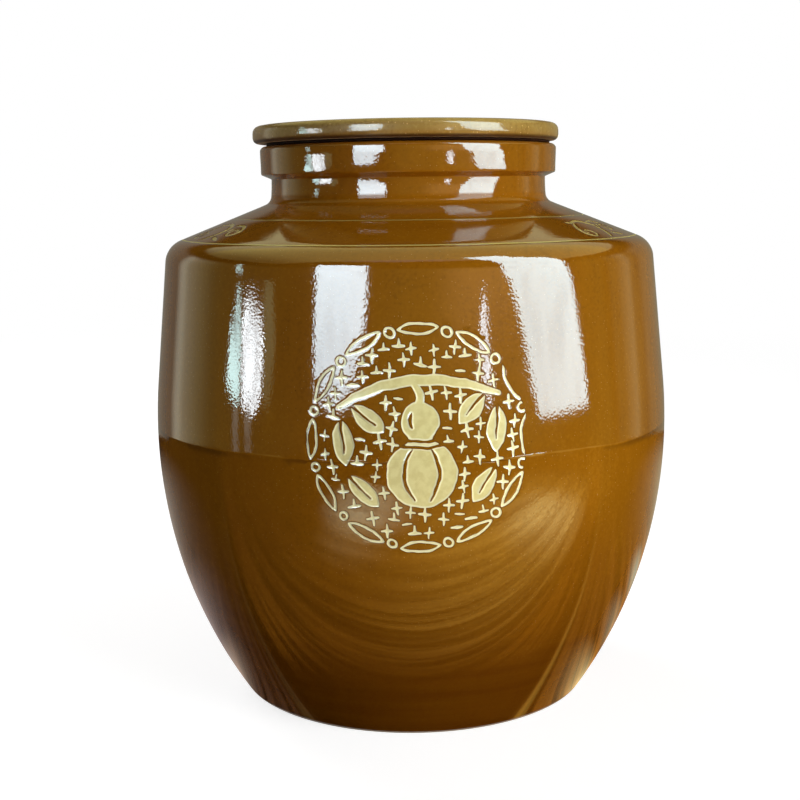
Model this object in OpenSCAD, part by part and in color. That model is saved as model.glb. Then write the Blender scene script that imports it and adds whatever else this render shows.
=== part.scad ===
// Lidded stoneware wine jar.
// A jar with a sloping shoulder, a short neck and a banded collar, its flat lid with a
// spigot, and the soft sealing ring that the spigot wears in the mouth.
// The jar stands on its foot ring at z = 0, and its axis is the Z axis.

/* [Body] */
// Diameter at the belly, the widest place
belly_d = 280; // [250:1:330]
// Height of the belly above the ground
belly_h = 145; // [120:1:180]
// Diameter of the foot, at the ground
foot_d = 193; // [150:1:230]
// Height from the belly up to the shoulder's edge
upper_h = 98.8; // [70:0.2:140]
// How far the shoulder's edge lies inside the belly
shoulder_inset = 8.4; // [2:0.2:16]
// Radius of the round between side wall and shoulder
shoulder_round = 13; // [6:0.5:20]
// Rise of the sloping shoulder, from its edge to the neck
shoulder_rise = 22.6; // [14:0.2:40]
// Thickness of the wall
wall = 8; // [6:0.5:11]
// Thickness of the floor, from the ground to the inside
floor_thick = 12; // [9:0.5:18]
// Radius of the round between floor and wall inside
floor_round = 14; // [6:0.5:24]
// Height above the belly of the join where the two halves were luted together
seam_above = 5; // [-10:0.5:20]
// How far the smoothed luting bead stands proud of the wall
seam_proud = 0.5; // [0.2:0.1:1.2]
// Radius of the luting bead's section
seam_bead_r = 3; // [2:0.2:4]

/* [Foot] */
// Width of the unglazed ring that the jar stands on
foot_ring_w = 14; // [8:0.5:20]
// Depth of the hollow inside the foot ring
foot_hollow = 3; // [1.5:0.1:5]
// Radius of the round on the foot's outer edge
foot_round = 1.6; // [0.6:0.1:3]

/* [Neck and collar] */
// Diameter of the neck
neck_d = 148.6; // [130:0.2:170]
// Height of the neck below the collar
neck_h = 12.2; // [6:0.2:24]
// Radius of the fillet between shoulder and neck
neck_fillet = 4.4; // [1:0.2:6]
// How far the collar stands out from the neck
collar_proud = 5.7; // [4:0.1:9]
// Height of the collar, up to the rim
collar_h = 17.2; // [14:0.2:28]
// Height of the slope under the collar
collar_slope = 2.4; // [1:0.1:5]
// Radius of the rounds on the collar's edges
collar_round = 2.4; // [1:0.1:3]
// Radius of the round on the rim's inner edge
mouth_round = 2; // [0.8:0.1:3]

/* [Shoulder lines] */
// Distance along the shoulder from the neck to the upper incised line
upper_line_at = 22.6; // [12:0.2:26]
// Distance along the shoulder from its edge to the lower incised line
lower_line_at = 9.6; // [9:0.2:16]
// Radius of the tool that cut the lines
line_tool_r = 0.8; // [0.5:0.1:1.5]
// Depth of the lines
line_depth = 0.35; // [0.2:0.05:0.45]

/* [Lid] */
// How far the lid stands out beyond the collar
lid_overhang = 2.6; // [1:0.1:6]
// Thickness of the lid at its edge
lid_thick = 9.2; // [8:0.2:14]
// Rise of the lid's top from its edge to its middle
lid_crown = 1.6; // [0.6:0.1:4]
// Radius of the round on the lid's upper edge
lid_top_round = 3.8; // [1:0.1:4.8]
// Radius of the round on the lid's lower edge
lid_under_round = 2.8; // [1:0.1:4]
// Depth of the spigot below the lid
spigot_depth = 17; // [15:0.5:24]
// Wall of the spigot
spigot_wall = 7; // [5:0.5:10]
// How much the spigot narrows at its end
spigot_taper = 0.8; // [0.2:0.1:2]
// Radius of the rounds on the spigot's end
spigot_round = 2; // [0.8:0.1:2.4]
// Depth of the shallow hollow under the lid, inside the spigot
lid_hollow = 1.6; // [0.5:0.1:3]
// Radius of the round in the hollow's corner
hollow_round = 4; // [2:0.2:6]

/* [Sealing ring] */
// Space between spigot and mouth, which the ring fills
seal_gap = 4; // [3:0.1:6]
// Thickness of the ring's flange, between rim and lid
seal_flange = 1.2; // [0.8:0.1:2]
// How far the flange's edge stays inside the collar
seal_inset = 3.4; // [2:0.1:6]
// Thickness of the ring's sleeve, round the spigot
seal_sleeve = 1.4; // [1:0.1:2.2]
// Length of the sleeve below the flange
seal_length = 12; // [9:0.5:14]
// Number of soft lips on the sleeve
seal_lips = 3; // [2:1:4]
// Thickness of a lip at its root
lip_root = 1.5; // [1:0.1:1.8]
// Thickness of a lip at its tip
lip_tip = 0.7; // [0.5:0.1:0.9]
// How far a lip droops towards its tip
lip_droop = 0.9; // [0.3:0.1:1.4]

/* [Fits] */
// Clearance between the flange and the rim below it
rim_clearance = 0.3; // [0.1:0.05:0.4]
// Clearance between a lip's tip and the mouth
lip_clearance = 0.3; // [0.1:0.05:0.5]
// Clearance between the ring and the lid that carries it
seal_clearance = 0.15; // [0.1:0.05:0.3]

/* [Hidden] */
$fn = 96;

// Straight pieces in one rounded corner, and in the crown of the lid
round_steps = 5;
crown_steps = 10;

belly_r = belly_d / 2;
foot_r = foot_d / 2;
shoulder_r = belly_r - shoulder_inset;
neck_r = neck_d / 2;
mouth_r = neck_r - wall;
collar_r = neck_r + collar_proud;
shoulder_z = belly_h + upper_h;
neck_z = shoulder_z + shoulder_rise;
collar_z = neck_z + neck_h;
rim_z = collar_z + collar_h;
floor_z = floor_thick;

// The ring's flange rests on the rim, and the lid on the flange
flange_z = rim_z + rim_clearance;
lid_z = flange_z + seal_flange + seal_clearance;
lid_top_z = lid_z + lid_thick;
lid_r = collar_r + lid_overhang;
spigot_r = mouth_r - seal_gap;
spigot_inner_r = spigot_r - spigot_wall;
spigot_end_z = lid_z - spigot_depth;
seal_r = spigot_r + seal_clearance;
sleeve_r = seal_r + seal_sleeve;
sleeve_end_z = flange_z - seal_length;
flange_r = collar_r - seal_inset;
lip_r = mouth_r - lip_clearance;

// A path is a list of [radius, height, round]: straight from point to point, with each
// corner rounded to its third number.
function place(p) = [p[0], p[1]];
function unit(v) = v / norm(v);
function left_of(v) = [-v[1], v[0]];

// Points of the arc that rounds corner b between a and c
function corner(a, b, c) =
    let(
        to_a = unit(place(a) - place(b)),
        to_c = unit(place(c) - place(b)),
        opening = acos(to_a * to_c),
        reach = b[2] / tan(opening / 2),
        centre = place(b) + unit(to_a + to_c) * b[2] / sin(opening / 2),
        start = place(b) + to_a * reach - centre,
        end = place(b) + to_c * reach - centre,
        sweep = 180 - opening
    )
    [for (i = [0:round_steps])
        let(turned = sweep * i / round_steps)
        centre + (start * sin(sweep - turned) + end * sin(turned)) / sin(sweep)];

// The path's outline, with its corners rounded; its two ends stay sharp
function rounded(path) =
    let(last = len(path) - 1)
    [for (i = [0:last])
        each (i == 0 || i == last || path[i][2] == 0)
            ? [place(path[i])]
            : corner(path[i - 1], path[i], path[i + 1])];

// The corners of a path, moved by d to the left of its run. A corner that turns left
// gets a smaller round there, and one that turns right a larger one.
function inset(path, d) =
    [for (i = [1:len(path) - 2])
        let(
            before = unit(place(path[i]) - place(path[i - 1])),
            after = unit(place(path[i + 1]) - place(path[i])),
            moved = place(path[i])
                + d * (left_of(before) + left_of(after)) / (1 + before * after),
            turn = sign(left_of(before) * after)
        )
        [moved[0], moved[1], max(path[i][2] - turn * d, path[i][2] / 4)]];

module turned(path) {
    rotate_extrude()
        polygon(rounded(path));
}

// The side wall is one arc that stands upright at the belly and ends at the foot. It
// runs on above the belly until it points at the shoulder's edge, and is straight from
// there.
foot_inset = belly_r - foot_r;
bow_r = (pow(belly_h, 2) + pow(foot_inset, 2)) / (2 * foot_inset);
bow_centre = [belly_r - bow_r, belly_h];
to_shoulder = [shoulder_r, shoulder_z] - bow_centre;
bow_top_angle = atan2(to_shoulder[1], to_shoulder[0]) - acos(bow_r / norm(to_shoulder));

// Where the arc ends, and its radius at a height, when moved inwards by d
function bow_top(d) = bow_centre + (bow_r - d) * [cos(bow_top_angle), sin(bow_top_angle)];
function side_r(z, d) = bow_centre[0] + sqrt(pow(bow_r - d, 2) - pow(z - belly_h, 2));

// The bowed part of the side, filled to the axis, from a height up to where it ends
module bowed(low_z, d) {
    rotate_extrude()
        intersection() {
            translate(bow_centre)
                circle(r = bow_r - d);
            translate([0, low_z])
                square([belly_d, bow_top(d)[1] - low_z]);
        }
}

shoulder_corner = [shoulder_r, shoulder_z, shoulder_round];
neck_corner = [neck_r, neck_z, neck_fillet];

// The jar as if it were solid: its foot, its bowed side, and shoulder, neck and collar
foot_top_z = 2 * foot_round;
module outside() {
    turned([
        [0, 0, 0],
        [foot_r, 0, foot_round],
        [side_r(foot_top_z, 0), foot_top_z, 0],
        [0, foot_top_z, 0]
    ]);
    bowed(foot_top_z, 0);
    turned([
        [0, bow_top(0)[1], 0],
        [bow_top(0)[0], bow_top(0)[1], 0],
        shoulder_corner,
        neck_corner,
        [neck_r, collar_z, 0],
        [collar_r, collar_z + collar_slope, collar_round / 2],
        [collar_r, rim_z, collar_round],
        [0, rim_z, 0]
    ]);
}

// The space inside: the same side, shoulder and neck, moved inwards by the wall. Over
// the rim, its cut runs on by the same overrun as the hollow under the foot.
cut_over = 1;
wall_foot_z = floor_z + floor_round;
wall_foot_r = side_r(wall_foot_z, wall);
floor_r = wall_foot_r - floor_round * tan(asin((belly_h - wall_foot_z) / (bow_r - wall)));
inner_corners = inset(
    [[bow_top(0)[0], bow_top(0)[1], 0], shoulder_corner, neck_corner, [neck_r, rim_z, 0]],
    wall
);
rim_edge = corner(
    [mouth_r, collar_z, 0],
    [mouth_r, rim_z, mouth_round],
    [collar_r, rim_z, 0]
);
module inside() {
    turned([
        [0, floor_z, 0],
        [floor_r, floor_z, floor_round],
        [wall_foot_r, wall_foot_z, 0],
        [0, wall_foot_z, 0]
    ]);
    bowed(wall_foot_z, wall);
    turned(concat(
        [[0, bow_top(wall)[1], 0], [bow_top(wall)[0], bow_top(wall)[1], 0]],
        inner_corners,
        [for (p = rim_edge) [p[0], p[1], 0]],
        [[mouth_r + mouth_round, rim_z + cut_over, 0], [0, rim_z + cut_over, 0]]
    ));
}

// The shallow hollow that leaves a foot ring to stand on
ring_inner_r = foot_r - foot_ring_w;
module foot_recess() {
    turned([
        [0, -cut_over, 0],
        [ring_inner_r + cut_over, -cut_over, 0],
        [ring_inner_r - foot_hollow, foot_hollow, 0],
        [0, foot_hollow, 0]
    ]);
}

// Down the shoulder's slope, and square out of it
slope = atan2(shoulder_rise, shoulder_r - neck_r);
down_slope = [cos(slope), -sin(slope)];
off_slope = [sin(slope), cos(slope)];
tool_lift = line_tool_r - line_depth;
upper_tool = [neck_r, neck_z] + upper_line_at * down_slope + tool_lift * off_slope;
lower_tool = [shoulder_r, shoulder_z] - lower_line_at * down_slope + tool_lift * off_slope;

// The path of a ball-ended tool held still against the turning jar
module turned_line(tool) {
    rotate_extrude()
        translate(tool)
            circle(r = line_tool_r);
}

// The luting clay that was smoothed over the join
seam_z = belly_h + seam_above;
module luting_bead() {
    rotate_extrude()
        translate([side_r(seam_z, 0) + seam_proud - seam_bead_r, seam_z])
            circle(r = seam_bead_r);
}

module jar_body() {
    color([0.50, 0.30, 0.05])
        difference() {
            union() {
                outside();
                luting_bead();
            }
            inside();
            foot_recess();
            turned_line(upper_tool);
            turned_line(lower_tool);
        }
}

// Top of the lid: a shallow crown that meets the round on the edge
crown_r = lid_r - lid_top_round;
crown_path =
    [for (i = [crown_steps:-1:0])
        let(share = i / crown_steps)
        [crown_r * share, lid_top_z + lid_crown * (1 - pow(share, 2)), 0]];

module lid() {
    color([0.52, 0.36, 0.13])
        turned(concat(
            [
                [0, lid_z + lid_hollow, 0],
                [spigot_inner_r, lid_z + lid_hollow, hollow_round],
                [spigot_inner_r + spigot_taper, spigot_end_z, spigot_round],
                [spigot_r - spigot_taper, spigot_end_z, spigot_round],
                [spigot_r, sleeve_end_z, 0],
                [spigot_r, lid_z, 0],
                [lid_r, lid_z, lid_under_round],
                [lid_r, lid_top_z, lid_top_round]
            ],
            crown_path
        ));
}

// One lip's outline, from its lower root over its tip to its upper root
lip_pitch = seal_length / (seal_lips + 0.5);
function lip_outline(i) =
    let(z = sleeve_end_z + lip_pitch * (i + 0.75))
    [
        [sleeve_r, z - lip_root / 2, 0],
        [lip_r, z - lip_droop - lip_tip / 2, 0],
        [lip_r, z - lip_droop + lip_tip / 2, 0],
        [sleeve_r, z + lip_root / 2, 0]
    ];

module seal_ring() {
    color([0.30, 0.28, 0.25])
        turned(concat(
            [[seal_r, sleeve_end_z, 0], [sleeve_r, sleeve_end_z, 0]],
            [for (i = [0:seal_lips - 1]) each lip_outline(i)],
            [
                [sleeve_r, flange_z, 0],
                [flange_r, flange_z, 0],
                [flange_r, flange_z + seal_flange, 0],
                [seal_r, flange_z + seal_flange, 0]
            ]
        ));
}

jar_body();
lid();
seal_ring();
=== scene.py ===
# %% [markdown]
# # A lidded stoneware wine jar
#
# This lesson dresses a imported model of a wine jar, so that it looks like the real one:
# a jar of about ten litres with an amber brown glaze, a round medallion cut through the
# glaze on its front, a flat lid and a soft sealing ring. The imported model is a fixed
# frame. It gives the pieces' places and says what moves, and every piece made here is
# modelled around the same axis, at the same size, and rides on the same bodies.

# %% Load the frame
import math
import random

import bpy
import numpy as np
from mathutils import Matrix, Vector, noise


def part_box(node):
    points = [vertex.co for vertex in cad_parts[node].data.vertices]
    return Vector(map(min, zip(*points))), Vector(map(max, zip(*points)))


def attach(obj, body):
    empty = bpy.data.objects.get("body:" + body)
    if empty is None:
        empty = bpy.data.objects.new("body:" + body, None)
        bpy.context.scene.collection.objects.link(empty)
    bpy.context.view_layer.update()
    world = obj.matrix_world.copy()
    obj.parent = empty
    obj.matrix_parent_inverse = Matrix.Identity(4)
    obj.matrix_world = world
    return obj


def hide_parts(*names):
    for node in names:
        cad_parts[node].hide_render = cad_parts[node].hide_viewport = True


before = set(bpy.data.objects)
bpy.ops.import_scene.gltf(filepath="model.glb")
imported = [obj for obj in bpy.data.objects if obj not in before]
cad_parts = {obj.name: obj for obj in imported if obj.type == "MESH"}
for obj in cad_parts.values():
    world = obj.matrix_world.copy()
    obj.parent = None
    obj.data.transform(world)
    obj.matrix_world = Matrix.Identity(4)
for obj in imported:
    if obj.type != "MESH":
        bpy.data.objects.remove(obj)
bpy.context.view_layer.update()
print("nodes:", sorted(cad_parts))

# %% [markdown]
# ## Sizes
#
# A potter thinks of such a jar as one outline that turns round an axis. These are the
# sizes of that outline, in metres. They are written as millimetres times `mm`, because
# that is how a potter would measure them. The jar's widest place is its belly. Below it,
# the side is one arc down to the foot, and above it the same arc goes on for a short
# way and then runs straight up to the shoulder.

# %% Sizes of the jar
mm = 0.001

belly_r = 140 * mm
belly_z = 145 * mm
foot_r = 96.5 * mm
foot_round = 1.6 * mm
foot_ring_w = 14 * mm
foot_hollow = 3 * mm
shoulder_r = 131.6 * mm
shoulder_z = 243.8 * mm
shoulder_round = 13 * mm
neck_r = 74.3 * mm
neck_z = 266.4 * mm
neck_fillet = 4.4 * mm
collar_r = 80 * mm
collar_z = 278.6 * mm
collar_slope = 2.4 * mm
collar_round = 2.4 * mm
rim_z = 295.8 * mm
mouth_round = 2 * mm
wall = 8 * mm
floor_z = 12 * mm
floor_round = 14 * mm
mouth_r = neck_r - wall
seam_z = 150 * mm

# %% Check the sizes against the frame
jar_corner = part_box("jar_body")[1]
lid_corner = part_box("lid")[1]
print("belly radius here and in the frame:", round(belly_r / mm, 2), round(jar_corner.x / mm, 2))
print("rim height here and in the frame:", round(rim_z / mm, 2), round(jar_corner.z / mm, 2))
print("lid radius in the frame:", round(lid_corner.x / mm, 2))

# %% [markdown]
# ## Camera
#
# The camera stands where the one that took the photograph stood: a little below the
# rim's height, seven tenths of a metre from the jar's axis, looking slightly down and
# held a trace out of level. The angles were found by fitting the jar's outline. Three
# turns, one after another, are easier to follow than one set of Euler angles.

# %% Camera
camera_place = (0, -0.7092, 0.2729)
camera_down = math.radians(9.39)
camera_left = math.radians(0.48)
camera_roll = math.radians(-0.72)
focal_px = 1278.7
image_px = 800
sensor = 36

camera_data = bpy.data.cameras.new("camera")
camera_data.sensor_width = sensor
camera_data.lens = focal_px * sensor / image_px
camera = bpy.data.objects.new("camera", camera_data)
camera.matrix_world = (
    Matrix.Translation(camera_place)
    @ Matrix.Rotation(camera_left, 4, "Z")
    @ Matrix.Rotation(math.radians(90) - camera_down, 4, "X")
    @ Matrix.Rotation(camera_roll, 4, "Z")
)
bpy.context.scene.collection.objects.link(camera)
bpy.context.scene.camera = camera
bpy.context.scene.view_settings.view_transform = "Standard"
print("lens:", round(camera_data.lens, 2), "mm")

# %% [markdown]
# ## The turned outline
#
# A jar, a lid and a rubber ring are all bodies of revolution. Each could be pulled up
# from a cylinder by extruding and scaling its top edge, but then a change of outline
# means redoing every step. Here one point is extruded along the outline instead, and the
# outline is spun round the Z axis, the way a potter's rib shapes turning clay. A corner
# of the outline is given as radius, height and the radius of its round.


# %% Round the corners of an outline
def corner_arc(before, here, after, steps):
    """Points of the arc that rounds a corner."""
    point = Vector(here[:2])
    to_before = (Vector(before[:2]) - point).normalized()
    to_after = (Vector(after[:2]) - point).normalized()
    opening = to_before.angle(to_after)
    reach = here[2] / math.tan(opening / 2)
    centre = point + (to_before + to_after).normalized() * here[2] / math.sin(opening / 2)
    start = point + to_before * reach - centre
    end = point + to_after * reach - centre
    sweep = math.pi - opening
    arc = []
    for step in range(steps + 1):
        turned = sweep * step / steps
        spoke = start * math.sin(sweep - turned) + end * math.sin(turned)
        arc.append(centre + spoke / math.sin(sweep))
    return [(point.x, point.y) for point in arc]


def rounded(corners, steps):
    """An outline with its corners rounded. Its two ends stay sharp."""
    outline = [corners[0][:2]]
    for before, here, after in zip(corners, corners[1:], corners[2:]):
        outline += corner_arc(before, here, after, steps) if here[2] else [here[:2]]
    return outline + [corners[-1][:2]]


def with_rows(outline, spacing):
    """The same outline with points added, so that no stretch is longer than spacing."""
    rows = [outline[0]]
    for here, there in zip(outline, outline[1:]):
        count = max(1, math.ceil(math.dist(here, there) / spacing))
        for step in range(1, count + 1):
            share = step / count
            rows.append(tuple(a + (b - a) * share for a, b in zip(here, there)))
    return rows


# %% [markdown]
# An operator acts on whatever is selected, so each piece starts with nothing selected.
# The finished piece's place goes into its mesh, which leaves the object itself at the
# origin, as the pieces of the frame are.


# %% Spin an outline into a piece
def start_clean():
    """Leave edit mode and select nothing."""
    if bpy.context.object and bpy.context.object.mode != "OBJECT":
        bpy.ops.object.mode_set(mode="OBJECT")
    bpy.ops.object.select_all(action="DESELECT")


def keep(piece, name):
    """Name a new piece and put its place into its mesh."""
    piece.name = name
    piece.data.name = name
    bpy.ops.object.transform_apply(location=True, rotation=True, scale=True)
    return piece


def turn_outline(name, outline, steps):
    """Extrude a point along an outline, and spin the outline once round the Z axis."""
    start_clean()
    first = outline[0]
    bpy.ops.mesh.primitive_plane_add(size=mm, location=(first[0], 0, first[1]))
    piece = keep(bpy.context.object, name)
    bpy.context.tool_settings.mesh_select_mode = (True, False, False)
    bpy.ops.object.mode_set(mode="EDIT")
    bpy.ops.mesh.merge(type="CENTER")
    for here, there in zip(outline, outline[1:]):
        along = (there[0] - here[0], 0, there[1] - here[1])
        bpy.ops.mesh.extrude_region_move(TRANSFORM_OT_translate={"value": along})
    bpy.ops.mesh.select_all(action="SELECT")
    bpy.ops.mesh.spin(steps=steps, angle=math.radians(360), center=(0, 0, 0), axis=(0, 0, 1))
    bpy.ops.mesh.select_all(action="SELECT")
    bpy.ops.mesh.remove_doubles(threshold=0.01 * mm)
    bpy.ops.mesh.normals_make_consistent(inside=False)
    bpy.ops.object.mode_set(mode="OBJECT")
    bpy.ops.object.shade_smooth()
    return piece


# %% [markdown]
# ## The jar's body
#
# The side's radius follows from two shapes that meet without a kink: the arc through the
# belly and the foot, and the straight stretch that leaves the arc towards the shoulder's
# corner. Having it as a function pays off later, when the fine mesh of the medallion
# has to lie exactly on the same surface.

# %% The side as a function of height
bow_r = (belly_z**2 + (belly_r - foot_r) ** 2) / (2 * (belly_r - foot_r))
bow_x = belly_r - bow_r
to_shoulder = Vector((shoulder_r - bow_x, shoulder_z - belly_z))
bow_top_angle = math.atan2(to_shoulder.y, to_shoulder.x) - math.acos(bow_r / to_shoulder.length)
bow_top_z = belly_z + bow_r * math.sin(bow_top_angle)
bow_top_r = bow_x + bow_r * math.cos(bow_top_angle)


def side_r(z, inwards=0.0):
    """The side's radius at a height on the arc, or that of the same arc moved inwards."""
    return bow_x + np.sqrt((bow_r - inwards) ** 2 - (z - belly_z) ** 2)


def outer_r(z):
    """The outer wall's radius at a height between the foot and the shoulder's round."""
    straight = bow_top_r + (shoulder_r - bow_top_r) * (z - bow_top_z) / (shoulder_z - bow_top_z)
    return np.where(z < bow_top_z, side_r(z), straight)


print("arc of the side:", round(bow_r / mm, 1), "mm radius, up to", round(bow_top_z / mm, 1), "mm")

# %% [markdown]
# The outline starts under the foot, on the axis, and runs outwards and up the side, over
# the shoulder, neck, collar and rim, and then down the inside to the middle of the
# floor. The rows on the side are 4.6 mm apart, with three close together at the seam,
# where the potter joined the two halves. The two incised lines on the shoulder are
# small round grooves, so each gets five points of its own.

# %% Sizes of the rows, the seam and the incised lines
row_gap = 4.6 * mm
seam_half = 0.9 * mm
round_steps = 5
slope = Vector((shoulder_r - neck_r, neck_z - shoulder_z)).normalized()
down_the_slope = Vector((slope.x, -slope.y))
upper_line_from_neck = 22.6 * mm
lower_line_from_edge = 9.6 * mm
upper_line = Vector((neck_r, neck_z)) + upper_line_from_neck * down_the_slope
lower_line = Vector((shoulder_r, shoulder_z)) - lower_line_from_edge * down_the_slope
line_half = 0.65 * mm
line_depth = 0.05 * mm
foot_hollow_round = 1.2 * mm
foot_inner_round = 0.8 * mm
under_collar_round = 0.7 * mm
print("incised lines:", round(upper_line.x / mm, 1), "and", round(lower_line.x / mm, 1),
      "mm from the axis")


# %% Rows of the side, and a groove
def side_rows(low, high):
    """Evenly spaced points of the side between two heights."""
    count = math.ceil((high - low) / row_gap)
    heights = [low + (high - low) * step / count for step in range(count + 1)]
    return [(float(outer_r(z)), z) for z in heights]


def groove(middle):
    """A round groove across the shoulder's slope, from its lower edge to its upper one."""
    inwards = Vector((-slope.y, -slope.x))
    shares = ((1, 0), (0.6, 0.64), (0, 1), (-0.6, 0.64), (-1, 0))
    points = [
        middle + along * line_half * down_the_slope + deep * line_depth * inwards
        for along, deep in shares
    ]
    return [(point.x, point.y) for point in points]


# %% The jar's outline
def jar_outline():
    """Corner by corner, the closed section of the jar on one side of its axis."""
    ring_r = foot_r - foot_ring_w
    foot_top = 2 * foot_round
    under = rounded(
        [(0, foot_hollow, 0), (ring_r - foot_hollow, foot_hollow, foot_hollow_round),
         (ring_r, 0, foot_inner_round), (foot_r, 0, foot_round),
         (float(outer_r(foot_top)), foot_top, 0)],
        round_steps,
    )
    shoulder = corner_arc(
        (bow_top_r, bow_top_z), (shoulder_r, shoulder_z, shoulder_round), (neck_r, neck_z),
        2 * round_steps,
    )
    side = side_rows(foot_top, seam_z - seam_half)[1:] + [(float(outer_r(seam_z)), seam_z)]
    side += side_rows(seam_z + seam_half, shoulder[0][1])[:-1]
    neck = corner_arc(
        (shoulder_r, shoulder_z), (neck_r, neck_z, neck_fillet), (neck_r, collar_z), round_steps
    )
    top = rounded(
        [(neck_r, collar_z - neck_fillet, 0), (neck_r, collar_z, under_collar_round),
         (collar_r, collar_z + collar_slope, collar_round / 2), (collar_r, rim_z, collar_round),
         (mouth_r, rim_z, mouth_round), (mouth_r, collar_z, 0)],
        round_steps,
    )
    return under, side, shoulder + groove(lower_line) + groove(upper_line) + neck, top


under, side, over, top = jar_outline()
print("rows on the side:", len(side))

# %% [markdown]
# Inside, the wall is the same outline moved inwards by its thickness. A corner that
# turns inwards gets a smaller round there, and one that turns outwards a larger one.


# %% The inside's outline
def moved_inwards(before, here, after, distance):
    """A corner of the outline, moved to the left of its run."""
    first = (Vector(here[:2]) - Vector(before[:2])).normalized()
    second = (Vector(after[:2]) - Vector(here[:2])).normalized()
    left = Vector((-first.y - second.y, first.x + second.x))
    moved = Vector(here[:2]) + distance * left / (1 + first.dot(second))
    return moved.x, moved.y


shoulder_corner = (shoulder_r, shoulder_z)
neck_corner = (neck_r, neck_z)
inner_shoulder = moved_inwards((bow_top_r, bow_top_z), shoulder_corner, neck_corner, wall)
inner_neck = moved_inwards(shoulder_corner, neck_corner, (neck_r, rim_z), wall)
wall_foot_z = floor_z + floor_round
wall_foot_r = float(side_r(wall_foot_z, wall))
lean = math.asin((belly_z - wall_foot_z) / (bow_r - wall))
inner_floor_r = wall_foot_r - floor_round * math.tan(lean)
inner_top_r = bow_x + (bow_r - wall) * math.cos(bow_top_angle)
inner_top_z = belly_z + (bow_r - wall) * math.sin(bow_top_angle)
inner_gap = 2 * row_gap
count = math.ceil((inner_top_z - wall_foot_z) / inner_gap)
inner_heights = [
    inner_top_z + (wall_foot_z - inner_top_z) * step / count for step in range(count + 1)
]
inner_over = rounded(
    [(mouth_r, collar_z, 0), (*inner_neck, neck_fillet + wall),
     (*inner_shoulder, shoulder_round - wall), (inner_top_r, inner_top_z, 0)],
    round_steps,
)
inner_floor = rounded(
    [(wall_foot_r, wall_foot_z, 0), (inner_floor_r, floor_z, floor_round), (0, floor_z, 0)],
    round_steps,
)
inner_side = [(float(side_r(z, wall)), z) for z in inner_heights]
inside = inner_over[1:-1] + inner_side + inner_floor[1:]
fine = with_rows(under, inner_gap) + side
fine += with_rows(over + top, row_gap) + with_rows(inside, inner_gap)
print("points of the whole outline:", len(fine))

# %% Spin the jar
jar_steps = 180
jar = turn_outline("stoneware_jar", fine, jar_steps)
print("jar:", len(jar.data.polygons), "faces")

# %% [markdown]
# ## The cut decoration
#
# The medallion was cut through the wet glaze with a pointed tool, down to pale clay: a
# border of slim ovals and small rings, a ground of little crosses, and a bold motif in
# the middle. Here that motif is a bottle gourd on its vine, the old sign for a wine
# vessel. A picture could carry the colours, but the cuts are real recesses with soft
# edges, so they are better as geometry.
#
# Each cut is written as a formula for the distance from a point to its edge, in
# millimetres, below zero inside the cut. The lowest of all the distances is the
# distance to the whole drawing. One number per point of the mesh is then enough to
# carve the clay and to colour it with a crisp edge.


# %% Distances to simple cuts
far_away = 1e3


def stroke(u, v, points, widths):
    """A stroke of the tool along points, with its half width given at each of them."""
    nearest = np.full(u.shape, far_away)
    for (x0, y0), (x1, y1), w0, w1 in zip(points, points[1:], widths, widths[1:]):
        dx, dy = x1 - x0, y1 - y0
        share = np.clip(((u - x0) * dx + (v - y0) * dy) / (dx * dx + dy * dy), 0, 1)
        away = np.hypot(u - x0 - share * dx, v - y0 - share * dy)
        nearest = np.minimum(nearest, away - (w0 + (w1 - w0) * share))
    return nearest


def ring(u, v, centre, radius, half_line):
    """A circle drawn with a line."""
    return np.abs(np.hypot(u - centre[0], v - centre[1]) - radius) - half_line


def lens(u, v, centre, angle, half_length, half_width):
    """A filled lens, such as a leaf, turned by an angle."""
    along = (u - centre[0]) * math.cos(angle) + (v - centre[1]) * math.sin(angle)
    across = (v - centre[1]) * math.cos(angle) - (u - centre[0]) * math.sin(angle)
    arc_r = (half_length**2 + half_width**2) / (2 * half_width)
    return np.hypot(along, np.abs(across) + arc_r - half_width) - arc_r


def slim_oval(u, v, centre, angle, half_length, half_width):
    """A filled oval between an ellipse and a lens: full in its belly, pointed at its ends."""
    along = (u - centre[0]) * math.cos(angle) + (v - centre[1]) * math.sin(angle)
    across = (v - centre[1]) * math.cos(angle) - (u - centre[0]) * math.sin(angle)
    reach = np.hypot(along / half_length, across / half_width) + 1e-6
    steepness = np.hypot(along / half_length**2, across / half_width**2) / reach + 1e-6
    ellipse = (reach - 1) / steepness
    return 0.35 * ellipse + 0.65 * lens(u, v, centre, angle, half_length, half_width)


# %% Soft joins, bows and swelling strokes
def melt(first, second, reach):
    """Two shapes run together with a soft waist between them."""
    share = np.clip(0.5 + (second - first) / (2 * reach), 0, 1)
    return second + (first - second) * share - reach * share * (1 - share)


def curve(start, bend, end, steps=10):
    """Points of a bow between two ends, drawn towards a third point."""
    made = []
    for step in range(steps + 1):
        share = step / steps
        pulls = ((1 - share) ** 2, start), (2 * share * (1 - share), bend), (share**2, end)
        made.append(tuple(sum(pull * place[axis] for pull, place in pulls) for axis in (0, 1)))
    return made


def swelling(count, thin, thick):
    """Half widths of a stroke that is thin at its ends and thick in its middle."""
    shares = [math.sin(math.pi * place / (count - 1)) ** 0.6 for place in range(count)]
    return [thin + (thick - thin) * share for share in shares]


# %% The border of ovals and small rings
border_r = 50.5
ovals = 12
oval_half = (8.9, 2.4)
oval_line = 0.60
oval_sway = 0.06
bead_r = 2.0
bead_line = 0.56
bead_change = 0.12
open_ovals = (0, 1)
oval_kept_to = -0.3
open_beads = (0, 11)
bead_kept_to = 0.7


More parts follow.
